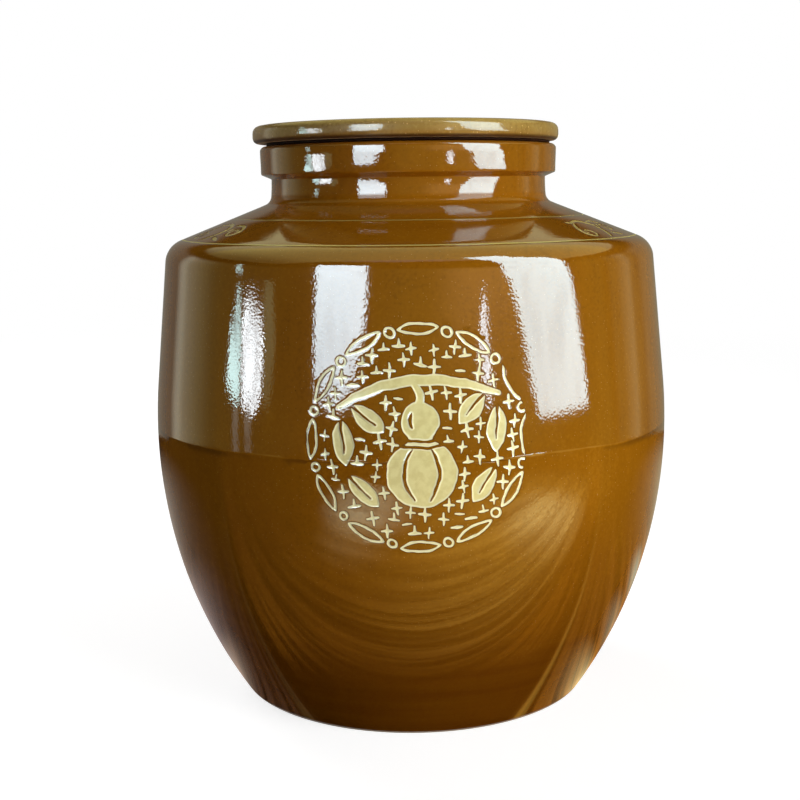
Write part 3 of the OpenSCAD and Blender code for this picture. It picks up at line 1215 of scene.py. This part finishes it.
# %% The seam and the clay in the cuts
def worked_colour(tree, z, colour):
    """The glaze with its seam and its cuts, and the share of clay that shows."""
    seam = node(tree, "Attribute", {"attribute_name": "seam"}).outputs["Fac"]
    # The seam's ridge gets thin glaze with a painted highlight.
    on_ridge = maths(tree, "MULTIPLY", between(tree, seam, 0.1, 0.9), 0.65)
    colour = blend(tree, on_ridge, colour, seam_thin_and_highlight)
    # Just under the ridge a shade is painted.
    under_ridge_shade = maths(tree, "MULTIPLY", between(tree, seam, -0.1, -0.9), 0.55)
    colour = blend(tree, under_ridge_shade, colour, painted_shade_brown)
    cut_mm = node(tree, "Attribute", {"attribute_name": "cut_mm"}).outputs["Fac"]
    # A dark line along each cut: gathered glaze with painted shade.
    edge_shade = maths(tree, "MULTIPLY", between(tree, cut_mm, -0.7, -0.1), 0.55)
    colour = blend(tree, edge_shade, colour, painted_shade_brown)
    wash = node(tree, "TexNoise", Vector=own_space(tree), Scale=260.0, Detail=4.0).outputs["Fac"]
    clay_body = blend(tree, between(tree, wash, 0.35, 0.65), clay_cut_dull, clay_cut)
    # The rim inside each cut is lighter: scraped clay with a painted highlight.
    clay = blend(tree, between(tree, cut_mm, 0.45, 0.95), clay_edge_highlight, clay_body)
    clay = blend(tree, between(tree, z, *clay_glazed_heights), clay, clay_glazed)
    in_cut = between(tree, cut_mm, -edge_soft, edge_soft)
    return blend(tree, in_cut, colour, clay), in_cut


# %% The jar's material
def amber_glaze():
    """Amber glaze with cuts down to the clay, and a bare foot ring."""
    material, tree, surface = new_material("amber_glaze")
    z = node(tree, "SeparateXYZ", Vector=own_space(tree)).outputs["Z"]
    pooling = between(tree, z, *darker_low_heights)
    colour, in_cut = worked_colour(tree, z, amber_colour(tree, pooling))
    bare = between(tree, z, *bare_heights)
    colour = blend(tree, bare, colour, biscuit)
    tree.links.new(colour, surface.inputs["Base Color"])

    gloss = node(tree, "TexNoise", Vector=own_space(tree), Scale=40.0, Detail=3.0).outputs["Fac"]
    rough = maths(tree, "MULTIPLY_ADD", gloss, 0.04, 0.03)
    rough = maths(tree, "MULTIPLY_ADD", in_cut, 0.16, rough)
    rough = maths(tree, "MAXIMUM", rough, maths(tree, "MULTIPLY", bare, 0.8))
    tree.links.new(rough, surface.inputs["Roughness"])
    surface.inputs["IOR"].default_value = 1.5
    above_foot, below_top = between(tree, z, *corner_foot), between(tree, z, *corner_top)
    corner = maths(tree, "MULTIPLY", above_foot, below_top)
    shine = maths(tree, "MULTIPLY_ADD", corner, -corner_dulling, 0.5)
    tree.links.new(shine, surface.inputs["Specular IOR Level"])
    level = maths(tree, "MULTIPLY_ADD", pooling, -0.9, 1.0)
    tree.links.new(orange_peel(tree, 0.010, 0.025, level), surface.inputs["Normal"])
    return material


jar.data.materials.append(amber_glaze())
print("nodes in the jar's glaze:", len(jar.data.materials[0].node_tree.nodes))

# %% [markdown]
# The lid's glaze is drier: a rough olive brown with pale grains, under a thin clear coat
# that gives it its soft shine. Low on the rim the glaze runs thin and amber, and a painted
# shade darkens its lowest part, under the rim's round. Underneath, where the lid was set
# down to be fired, it is bare.

# %% Heights on the lid where its glaze changes
lid_amber_heights = (lid_z + 5 * mm, lid_z + 1.5 * mm)
# Where the painted shade under the lid's rim begins, and where it is full.
lid_rim_shade_heights = (lid_z + 2.3 * mm, lid_z + 0.7 * mm)
lid_bare_heights = (lid_z + 0.15 * mm, lid_z + 0.05 * mm)


# %% The lid's material
def lid_glaze():
    """Olive brown glaze, drier than the jar's, with grains and a painted shade low on its rim."""
    material, tree, surface = new_material("lid_glaze")
    colour = mottled(tree, olive_deep, olive, olive_pale)
    z = node(tree, "SeparateXYZ", Vector=own_space(tree)).outputs["Z"]
    low = between(tree, z, *lid_amber_heights)
    colour = blend(tree, maths(tree, "MULTIPLY", low, 0.3), colour, amber)
    rarity = maths(tree, "MULTIPLY_ADD", low, -0.30, 0.68)
    grains = specks(tree, 560, 0.24, rarity)
    colour = blend(tree, maths(tree, "MULTIPLY", grains, 0.85), colour, speck_pale)
    # Painted shade darkens the lowest part of the rim.
    edge_shade = maths(tree, "MULTIPLY", between(tree, z, *lid_rim_shade_heights), 0.9)
    colour = blend(tree, edge_shade, colour, lid_rim_shade)
    under = between(tree, z, *lid_bare_heights)
    colour = blend(tree, under, colour, biscuit)
    tree.links.new(colour, surface.inputs["Base Color"])
    gloss = node(tree, "TexNoise", Vector=own_space(tree), Scale=60.0, Detail=3.0).outputs["Fac"]
    rough = maths(tree, "MULTIPLY_ADD", gloss, 0.16, 0.32)
    rough = maths(tree, "MAXIMUM", rough, maths(tree, "MULTIPLY", under, 0.8))
    tree.links.new(rough, surface.inputs["Roughness"])
    surface.inputs["IOR"].default_value = 1.5
    surface.inputs["Specular IOR Level"].default_value = 0.12
    coat = maths(tree, "MULTIPLY_ADD", edge_shade, -0.55, 0.58)
    tree.links.new(coat, surface.inputs["Coat Weight"])
    surface.inputs["Coat Roughness"].default_value = 0.05
    peel = orange_peel(tree, 0.02, 0.045)
    tree.links.new(peel, surface.inputs["Normal"])
    tree.links.new(peel, surface.inputs["Coat Normal"])
    return material


lid.data.materials.append(lid_glaze())
print("nodes in the lid's glaze:", len(lid.data.materials[0].node_tree.nodes))

# %% [markdown]
# Silicone is matt, with a lower index of refraction than glaze. Dust clings to it in
# patches, so its dark colour is a little paler there.

# %% The ring's material
rubber = (0.017, 0.005, 0.002, 1)
rubber_dusty = (0.032, 0.013, 0.006, 1)


def soft_seal():
    """Dark silicone: matt, a little uneven, and paler where dust clings to it."""
    material, tree, surface = new_material("soft_seal")
    dust = node(tree, "TexNoise", Vector=own_space(tree), Scale=160.0, Detail=5.0).outputs["Fac"]
    colour = blend(tree, between(tree, dust, 0.45, 0.75), rubber, rubber_dusty)
    tree.links.new(colour, surface.inputs["Base Color"])
    tree.links.new(maths(tree, "MULTIPLY_ADD", dust, 0.2, 0.65), surface.inputs["Roughness"])
    surface.inputs["IOR"].default_value = 1.41
    surface.inputs["Specular IOR Level"].default_value = 0.08
    fine_grain = node(tree, "TexNoise", Vector=own_space(tree), Scale=900.0).outputs["Fac"]
    bump = node(tree, "Bump", Height=fine_grain, Strength=0.6, Distance=0.02 * mm)
    tree.links.new(bump.outputs["Normal"], surface.inputs["Normal"])
    return material


seal.data.materials.append(soft_seal())
print("nodes in the ring's rubber:", len(seal.data.materials[0].node_tree.nodes))

# %% [markdown]
# ## Which body each piece rides on
#
# The jar stays on the table. The lid and the ring round its spigot lift off together, so
# both ride on the cover. Each piece stands for the node of the frame that it was
# modelled after.

# %% Ride and replace
for piece, body, stands_for, finish in (
    (jar, "jar", "jar_body", "amber_glaze"),
    (lid, "cover", "lid", "lid_glaze"),
    (seal, "cover", "seal_ring", "soft_seal"),
):
    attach(piece, body)
    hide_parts(stands_for)
    print(piece.name, "rides on", body)

# %% [markdown]
# ## The studio
#
# A glossy jar is a mirror, so its light has to be built like a set. Two soft lamps give
# the plain light, the stronger one from the right. What shows in the gloss is built
# apart from them, from sheets that only reflections see: bright windows where the
# mirror directions from the camera meet them, and dark walls between, which keep the
# amber deep. The floor and the world are pale.

# %% Floor
floor_size = 14
start_clean()
bpy.ops.mesh.primitive_plane_add(size=floor_size, location=(0, 0, 0))
floor = keep(bpy.context.object, "studio_floor")
floor.visible_glossy = False
print("floor:", [round(side, 1) for side in floor.dimensions], "m")


# %% The floor's paper
def seen_rays(tree):
    """1 for what the camera, a reflection or glass sees, and 0 for light that scatters."""
    path = node(tree, "LightPath").outputs
    mirrored = maths(tree, "MAXIMUM", path["Is Glossy Ray"], path["Is Transmission Ray"])
    return maths(tree, "MAXIMUM", path["Is Camera Ray"], mirrored)


paper_tone = 0.45
paper_lift = 0.78
near_edge = 0.55
far_edge = 1.9


def floor_paper():
    """Pale paper that keeps the jar's shadow and runs out into the white distance."""
    material, tree, surface = new_material("floor_paper")
    tree.nodes.remove(surface)
    paper = node(tree, "BsdfDiffuse", Color=(paper_tone, paper_tone, paper_tone, 1))
    lift = node(tree, "Emission", Color=(1, 1, 1, 1))
    tree.links.new(maths(tree, "MULTIPLY", seen_rays(tree), paper_lift), lift.inputs["Strength"])
    both = node(tree, "AddShader", in0=paper.outputs[0], in1=lift.outputs[0])
    white = node(tree, "Emission", Color=(1, 1, 1, 1), Strength=seen_rays(tree))
    reach = node(tree, "VectorMath", {"operation": "LENGTH"}, in0=own_space(tree)).outputs["Value"]
    away = between(tree, reach, near_edge, far_edge)
    mixed = node(tree, "MixShader", in0=away, in1=both.outputs[0], in2=white.outputs[0])
    tree.links.new(mixed.outputs[0], tree.nodes["Material Output"].inputs["Surface"])
    return material


floor.data.materials.append(floor_paper())
print("the paper turns white from", near_edge, "to", far_edge, "m")

# %% World
fill_level = 0.23
world = bpy.data.worlds.new("studio")
bpy.context.scene.world = world
world.use_nodes = True
tree = world.node_tree
background = tree.nodes["Background"]
background.inputs["Color"].default_value = (1, 1, 1, 1)
strength = maths(tree, "MAXIMUM", seen_rays(tree), fill_level)
tree.links.new(strength, background.inputs["Strength"])
print("fill light from all round:", fill_level)

# %% Lamps
lamp_target = Vector((0, 0, 0.16))


def soft_lamp(name, azimuth, elevation, distance, size, watts):
    """A square lamp that faces the jar's middle. It lights, and gloss doesn't show it."""
    data = bpy.data.lights.new(name, "AREA")
    data.size = size
    data.energy = watts
    lamp = bpy.data.objects.new(name, data)
    turn, rise = math.radians(azimuth), math.radians(elevation)
    flat = math.cos(rise)
    away = Vector((math.sin(turn) * flat, -math.cos(turn) * flat, math.sin(rise)))
    lamp.location = lamp_target + away * distance
    lamp.rotation_mode = "QUATERNION"
    lamp.rotation_quaternion = away.to_track_quat("Z", "Y")
    lamp.visible_glossy = False
    bpy.context.scene.collection.objects.link(lamp)
    print(name, "at", [round(value, 2) for value in lamp.location], "m:", watts, "W")


soft_lamp("lamp_right", azimuth=50, elevation=12, distance=1.6, size=0.9, watts=22.5)
soft_lamp("lamp_behind", azimuth=-140, elevation=25, distance=1.8, size=0.9, watts=16)

# %% [markdown]
# ### What the gloss sees
#
# A reflection sheet is a grid that is bent round the jar. Each of its rows has a height
# and the azimuths of the sheet's two ends there, so a window can lean or flare as real
# ones do in a picture. Azimuth 0 is the camera's side, and +90 degrees is on the right.
# The strengths follow from the gloss: a glaze throws back about a twenty-fifth of what
# it faces, so a window has to be twenty times white to look white in it.


# %% Sheets that only reflections see
def only_mirrored(piece, material):
    """Make a piece of the stage that reflections see, and that casts no light or shadow."""
    piece.data.materials.append(material)
    piece.visible_camera = False
    piece.visible_diffuse = False
    piece.visible_shadow = False
    piece.visible_transmission = False


def bent_sheet(name, rows, distance, material, columns=12):
    """A sheet round the jar's axis. Each row is (height, first azimuth, last azimuth)."""
    start_clean()
    bpy.ops.mesh.primitive_grid_add(x_subdivisions=columns, y_subdivisions=len(rows) - 1, size=1)
    piece = keep(bpy.context.object, name)
    for vertex in piece.data.vertices:
        z, first, last = rows[round((vertex.co.y + 0.5) * (len(rows) - 1))]
        turn = math.radians(first + (last - first) * (vertex.co.x + 0.5))
        vertex.co = (distance * math.sin(turn), -distance * math.cos(turn), z)
    only_mirrored(piece, material)


# %% Materials that only glow
def glow(name, colour, strength):
    """A material that only glows, with its colour and strength given or linked."""
    material, tree, surface = new_material(name)
    tree.nodes.remove(surface)
    return material, tree, node(tree, "Emission", Color=colour, Strength=strength)


def finish_glow(material, tree, emission):
    """Link the glow to the material's output."""
    tree.links.new(emission.outputs[0], tree.nodes["Material Output"].inputs["Surface"])
    return material


# %% Windows
window_distance = 1.5
windows = {
    "window_right": ((0.70, 0.93, 0.98), (15.4, 18.4), [
        (0.120, 54.5, 78.5), (0.200, 51.6, 77.5), (0.300, 46.8, 74.5), (0.400, 41.8, 72.0),
        (0.540, 40.0, 71.0), (1.000, 42.0, 75.0), (1.400, 42.0, 74.0), (1.900, 38.0, 62.0),
        (2.600, 36.0, 59.0), (4.400, 35.0, 59.0),
    ]),
    "window_left": ((0.74, 0.91, 1.0), (18.0, 22.0), [
        (0.215, -39.5, -27.0), (0.260, -40.2, -22.2), (0.320, -40.0, -18.6), (0.380, -39.5, -17.2),
        (1.150, -42.5, -19.0),
    ]),
    "window_far_left": ((0.88, 0.96, 1.0), (20.0, 25.0), [
        (0.108, -71.0, -68.0), (0.138, -73.2, -66.0), (0.165, -74.6, -64.4), (0.200, -74.8, -63.4),
        (0.245, -75.0, -63.6), (0.275, -75.0, -64.9), (0.290, -74.6, -67.0), (0.303, -73.0, -69.6),
    ]),
    "window_far_left_edge": ((0.66, 0.95, 0.94), (17.0, 15.0), [
        (0.138, -77.5, -75.5), (0.150, -80.2, -75.6), (0.165, -84.0, -75.7), (0.190, -82.8, -75.8),
        (0.245, -82.3, -75.9), (0.275, -79.8, -76.5), (0.300, -79.5, -77.3), (0.312, -79.2, -78.4),
    ]),
    "window_far_left_top": ((0.66, 0.95, 0.92), (11.0, 9.0), [
        (0.372, -80.0, -77.0), (0.500, -81.5, -78.0), (0.800, -84.0, -80.5),
    ]),
    "window_gap": ((0.80, 0.93, 1.0), (23.0, 21.0), [
        (0.212, 31.4, 33.4), (0.232, 30.6, 33.0), (0.250, 28.4, 33.0), (0.272, 28.2, 33.0),
        (0.292, 29.0, 32.5), (0.314, 29.6, 32.3), (0.352, 30.5, 32.1),
    ]),
    "strip_left": ((1.0, 1.0, 0.85), (1.2, 1.6), [(-0.075, -78.8, -75.9), (0.140, -78.6, -75.9)]),
    "strip_right": ((1.0, 1.0, 0.85), (1.0, 1.6), [(-0.060, -72.2, -68.8), (0.105, -72.4, -69.0)]),
    "blind": ((0.94, 1.0, 0.50), (1.1, 1.5), [
        (0.160, -63.0, -60.2), (0.250, -63.2, -57.6), (0.350, -64.8, -60.4),
    ]),
}
patchy = ("window_far_left", "window_far_left_edge", "window_far_left_top", "window_gap")
print("windows and strips:", len(windows))

# %% The windows' light
rise_top = 0.5
patchy_view = ((2.5, 2.5, 1.5), 0.8)
plain_view = ((1, 1, 1), 0.14)
view_mean = 1.06


def window_light(name, colour, strengths, rows):
    """A window's glow from its foot to its top, uneven as a view or a curtain makes it."""
    material, tree, emission = glow(name, (*colour, 1), 1.0)
    z = node(tree, "SeparateXYZ", Vector=own_space(tree)).outputs["Z"]
    rise = between(tree, z, rows[0][0], min(rows[-1][0], rise_top))
    strength = maths(tree, "MULTIPLY_ADD", rise, strengths[1] - strengths[0], strengths[0])
    squeeze, depth = patchy_view if name in patchy else plain_view
    view = node(tree, "TexNoise", Vector=own_space(tree, squeeze), Scale=9.0, Detail=4.0)
    bright = between(tree, view.outputs["Fac"], 0.36, 0.52)
    uneven = maths(tree, "MULTIPLY_ADD", bright, depth, view_mean - depth)
    tree.links.new(maths(tree, "MULTIPLY", uneven, strength), emission.inputs["Strength"])
    return finish_glow(material, tree, emission)


for name, (colour, strengths, rows) in windows.items():
    bent_sheet(name, rows, window_distance, window_light(name, colour, strengths, rows))

# %% [markdown]
# The walls are one tall cylinder. Its glow runs through a list of tones by the azimuth:
# dim at the front, a pale wall on the left with a brighter strip at its far edge, narrow
# uprights on the right, and a soft grey behind the jar, which gives the jar's edges their
# thin pale rim. A curtain lies as a soft warm patch on the left of the right window.

# %% Tones of the walls
wall_distance = 4.0
wall_foot = -3.0
wall_top = 4.6
pale_top = 1.75
pale_fade = 0.25
wall_level = 1.4
wall_tones = [
    (-180, (0.22, 0.22, 0.19)), (-131, (0.22, 0.22, 0.19)), (-125, (1.15, 1.15, 0.92)),
    (-122, (1.30, 1.30, 0.98)), (-118, (1.00, 0.98, 0.70)), (-106, (0.74, 0.70, 0.36)),
    (-97, (0.44, 0.37, 0.13)), (-90, (0.50, 0.33, 0.08)), (-60, (0.30, 0.18, 0.05)),
    (-45, (0.12, 0.09, 0.05)), (-20, (0.02, 0.02, 0.01)), (-4, (0.26, 0.32, 0.10)),
    (50, (0.24, 0.30, 0.10)), (70, (0.04, 0.05, 0.02)), (93, (0.22, 0.27, 0.07)),
    (98, (0.05, 0.05, 0.02)), (102, (0.34, 0.38, 0.15)), (105, (0.22, 0.25, 0.10)),
    (109, (0.50, 0.52, 0.26)), (116, (0.75, 0.78, 0.45)), (119, (0.28, 0.30, 0.15)),
    (125, (0.12, 0.14, 0.08)), (132, (0.24, 0.27, 0.18)), (180, (0.22, 0.22, 0.19)),
]
wall_dark = (0.01, 0.006, 0.003, 1)
curtain_tone = (1.9, 1.25, 0.48)
curtain_side = (6, 27)
curtain_far_side = (60, 50)
curtain_foot = (0.30, 0.60)
curtain_top = (2.4, 1.1)
print("tones round the room:", len(wall_tones))


# %% A colour for each azimuth
def azimuth_of(tree):
    """The azimuth round the jar in degrees, from its object coordinates."""
    axes = node(tree, "SeparateXYZ", Vector=own_space(tree)).outputs
    turned = maths(tree, "ARCTAN2", axes["X"], maths(tree, "MULTIPLY", axes["Y"], -1.0))
    return maths(tree, "DEGREES", turned), axes["Z"]


def run_through(tree, value, tones, level):
    """A colour that runs through a list of (value, tone), each tone divided by a level."""
    first, last = tones[0][0], tones[-1][0]
    share = maths(tree, "DIVIDE", maths(tree, "SUBTRACT", value, first), last - first)
    made = node(tree, "ValToRGB", in0=share)
    elements = made.color_ramp.elements
    for place, (at, tone) in enumerate(tones):
        where = (at - first) / (last - first)
        element = elements[0] if place == 0 else elements[-1] if at == last else elements.new(where)
        element.position = where
        element.color = (*(part / level for part in tone), 1)
    return made.outputs["Color"]


# %% Walls
def wall_light():
    """The walls' glow by azimuth, up to the height where they turn dark."""
    material, tree, emission = glow("walls", (0, 0, 0, 1), wall_level)
    azimuth, z = azimuth_of(tree)
    tones = run_through(tree, azimuth, wall_tones, wall_level)
    hangs = maths(tree, "MULTIPLY", between(tree, z, *curtain_foot), between(tree, z, *curtain_top))
    hangs = maths(tree, "MULTIPLY", hangs, between(tree, azimuth, *curtain_side))
    hangs = maths(tree, "MULTIPLY", hangs, between(tree, azimuth, *curtain_far_side))
    tones = blend(tree, hangs, tones, (*(part / wall_level for part in curtain_tone), 1))
    low_part = between(tree, z, pale_top + pale_fade, pale_top - pale_fade)
    colour = blend(tree, low_part, wall_dark, tones)
    tree.links.new(colour, emission.inputs["Color"])
    return finish_glow(material, tree, emission)


wall_rows = [(wall_foot, -180, 180), (wall_top, -180, 180)]
bent_sheet("walls", wall_rows, wall_distance, wall_light(), columns=72)
print("walls:", wall_distance, "m away, from", wall_foot, "to", wall_top, "m")

# %% [markdown]
# The ceiling is a warm pale rectangle. It shows as the light band along the top of the
# shoulder's round, and on both sides of the neck's own reflection. Far behind the jar it
# is dimmer and less yellow, and it fades towards the left.

# %% Ceiling
ceiling_z = 2.6
ceiling_low = (-3.9, -1.7)
ceiling_high = (3.9, 3.5)
plaster_warm = (1.6, 1.47, 0.54, 1)
plaster_far = (1.0, 1.0, 0.56, 1)
far_behind = (1.9, 2.5)
lit_sides = (-3.4, -1.2)
least_lit = 0.31
start_clean()
bpy.ops.mesh.primitive_plane_add(size=1, location=(0, 0, 0))
ceiling = keep(bpy.context.object, "ceiling")
for vertex in ceiling.data.vertices:
    share_x, share_y = vertex.co.x + 0.5, vertex.co.y + 0.5
    vertex.co.x = ceiling_low[0] + (ceiling_high[0] - ceiling_low[0]) * share_x
    vertex.co.y = ceiling_low[1] + (ceiling_high[1] - ceiling_low[1]) * share_y
    vertex.co.z = ceiling_z
material, tree, emission = glow("ceiling", (0, 0, 0, 1), 1.0)
axes = node(tree, "SeparateXYZ", Vector=own_space(tree)).outputs
plaster = blend(tree, between(tree, axes["Y"], *far_behind), plaster_warm, plaster_far)
lit = between(tree, axes["X"], *lit_sides)
lit = maths(tree, "MULTIPLY_ADD", lit, 1 - least_lit, least_lit)
plaster = blend(tree, lit, (0, 0, 0, 1), plaster)
tree.links.new(plaster, emission.inputs["Color"])
only_mirrored(ceiling, finish_glow(material, tree, emission))
print("ceiling: from", ceiling_low, "to", ceiling_high, "m, at", ceiling_z, "m")

# %% [markdown]
# The jar stands on a table of planks in its own reflection. The table is a sheet that
# only gloss sees, and it hides the pale floor there. Its grain runs from left to right,
# so the round body bends it into the nested arcs low on the jar. Window light lies on it
# in soft pools.

# %% Tones of the table
table_z = 1.5 * mm
table_middle = (0, -0.25)
table_r = 1.0
front_tones = ((0.24, 0.07, 0.015, 1), (0.68, 0.25, 0.020, 1))
back_tones = ((0.10, 0.05, 0.03, 1), (0.42, 0.16, 0.02, 1))
edge_tones = ((0.12, 0.08, 0.03, 1), (0.72, 0.46, 0.07, 1))
front_sides = (-0.35, 0.02)
back_sides = (-0.08, 0.05)
gaps = [(-0.089, 0.005, 1.0), (-0.165, 0.005, 0.7), (-0.62, 0.006, 0.8)]
pale_edge = (-0.081, 0.003)
back_plank = -0.086
back_plank_soft = 0.002
back_fade = (0.42, 0.20)
back_least = 0.25
behind_edge = (-0.09, -0.02)
foot_shade = (0.116, 0.165)
glare_edge = (-0.125, -0.175)
front_pools = [
    ((0.28, -0.27), 0.40, (2.7, 1.75, 0.30)),
    ((0.31, -0.26), 0.17, (2.4, 2.4, 1.2)),
    ((-0.13, -0.47), 0.18, (4.4, 4.6, 3.1)),
    ((-0.12, -0.33), 0.11, (1.2, 1.0, 0.5)),
]
back_pools = [
    ((0.20, 0.105), 0.065, (0.30, 0.50, 0.42)),
    ((0.15, 0.02), 0.05, (0.25, 0.30, 0.22)),
    ((0.095, -0.045), 0.045, (0.90, 0.80, 0.40)),
    ((0.30, 0.36), 0.36, (0.36, 0.38, 0.28)),
    ((-0.25, 0.28), 0.36, (0.34, 0.31, 0.27)),
    ((-0.15, 0.04), 0.13, (0.28, 0.24, 0.24)),
    ((-0.11, -0.02), 0.045, (0.35, 0.27, 0.20)),
]
print("pools of light on the table:", len(front_pools) + len(back_pools))


# %% Pools of light and the grain of the planks
def pools_of(tree, place, pools):
    """Round soft pools of light, added up."""
    colour = (0, 0, 0, 1)
    for (x, y), reach, tint in pools:
        off = node(tree, "VectorMath", {"operation": "DISTANCE"}, in0=place, in1=(x, y, table_z))
        pool = between(tree, off.outputs["Value"], reach, reach * 0.1)
        colour = blend(tree, pool, colour, (*tint, 1), "ADD")
    return colour


def wood_grain(tree, y):
    """The grain's share of light, with the gaps between the planks."""
    narrow = own_space(tree, (3, 260, 1))
    fine = node(tree, "TexNoise", Vector=narrow, Scale=1.0, Detail=2.0, Distortion=0.5)
    broad = own_space(tree, (1.6, 48, 1))
    wide = node(tree, "TexNoise", Vector=broad, Scale=1.0, Detail=3.0, Distortion=0.8)
    both = maths(tree, "MULTIPLY", wide.outputs["Fac"], 0.8)
    both = maths(tree, "MULTIPLY_ADD", fine.outputs["Fac"], 1.2, both)
    grain = maths(tree, "MULTIPLY_ADD", between(tree, both, 0.84, 1.16), 1.24, 0.26)
    for middle, half, depth in gaps:
        off = maths(tree, "ABSOLUTE", maths(tree, "SUBTRACT", y, middle))
        on_plank = between(tree, off, half * 0.4, half * 1.3)
        on_plank = maths(tree, "MULTIPLY_ADD", on_plank, depth, 1 - depth)
        grain = maths(tree, "MULTIPLY", grain, on_plank)
    return grain


# %% The table's light
def table_light():
    """Planks with grain, dark gaps, the jar's shade at its foot and pools of window light."""
    material, tree, emission = glow("table", (0, 0, 0, 1), 1.0)
    place = own_space(tree)
    axes = node(tree, "SeparateXYZ", Vector=place).outputs
    grain = wood_grain(tree, axes["Y"])
    to_right = between(tree, axes["X"], *back_sides)

    front = blend(tree, between(tree, axes["X"], *front_sides), *front_tones)
    reach = node(tree, "VectorMath", {"operation": "LENGTH"}, in0=place).outputs["Value"]
    front = blend(tree, between(tree, reach, *foot_shade), (0, 0, 0, 1), front)
    glare = pools_of(tree, place, front_pools)
    glare = blend(tree, between(tree, axes["Y"], *glare_edge), (0, 0, 0, 1), glare)
    front = blend(tree, 1.0, front, glare, "ADD")

    back = blend(tree, to_right, *back_tones)
    near = between(tree, reach, *back_fade)
    near = maths(tree, "MULTIPLY_ADD", near, 1 - back_least, back_least)
    back = blend(tree, near, (0, 0, 0, 1), back)
    on_back = between(tree, axes["Y"], back_plank - back_plank_soft, back_plank + back_plank_soft)
    wood = blend(tree, on_back, front, back)
    shares = node(tree, "CombineColor", Red=grain, Green=grain, Blue=grain).outputs[0]
    wood = blend(tree, 1.0, wood, shares, "MULTIPLY")

    behind = between(tree, axes["Y"], *behind_edge)
    sheen = blend(tree, behind, (0, 0, 0, 1), pools_of(tree, place, back_pools))
    off = maths(tree, "ABSOLUTE", maths(tree, "SUBTRACT", axes["Y"], pale_edge[0]))
    on_edge = between(tree, off, pale_edge[1], pale_edge[1] * 0.3)
    sheen = blend(tree, on_edge, sheen, blend(tree, to_right, *edge_tones), "ADD")
    colour = blend(tree, 1.0, wood, sheen, "ADD")
    tree.links.new(colour, emission.inputs["Color"])
    return finish_glow(material, tree, emission)


# %% The table in the gloss
start_clean()
bpy.ops.mesh.primitive_circle_add(
    vertices=72, radius=table_r, fill_type="NGON", location=(*table_middle, table_z)
)
table = keep(bpy.context.object, "table")
only_mirrored(table, table_light())
print("table:", [round(side, 1) for side in table.dimensions], "m")
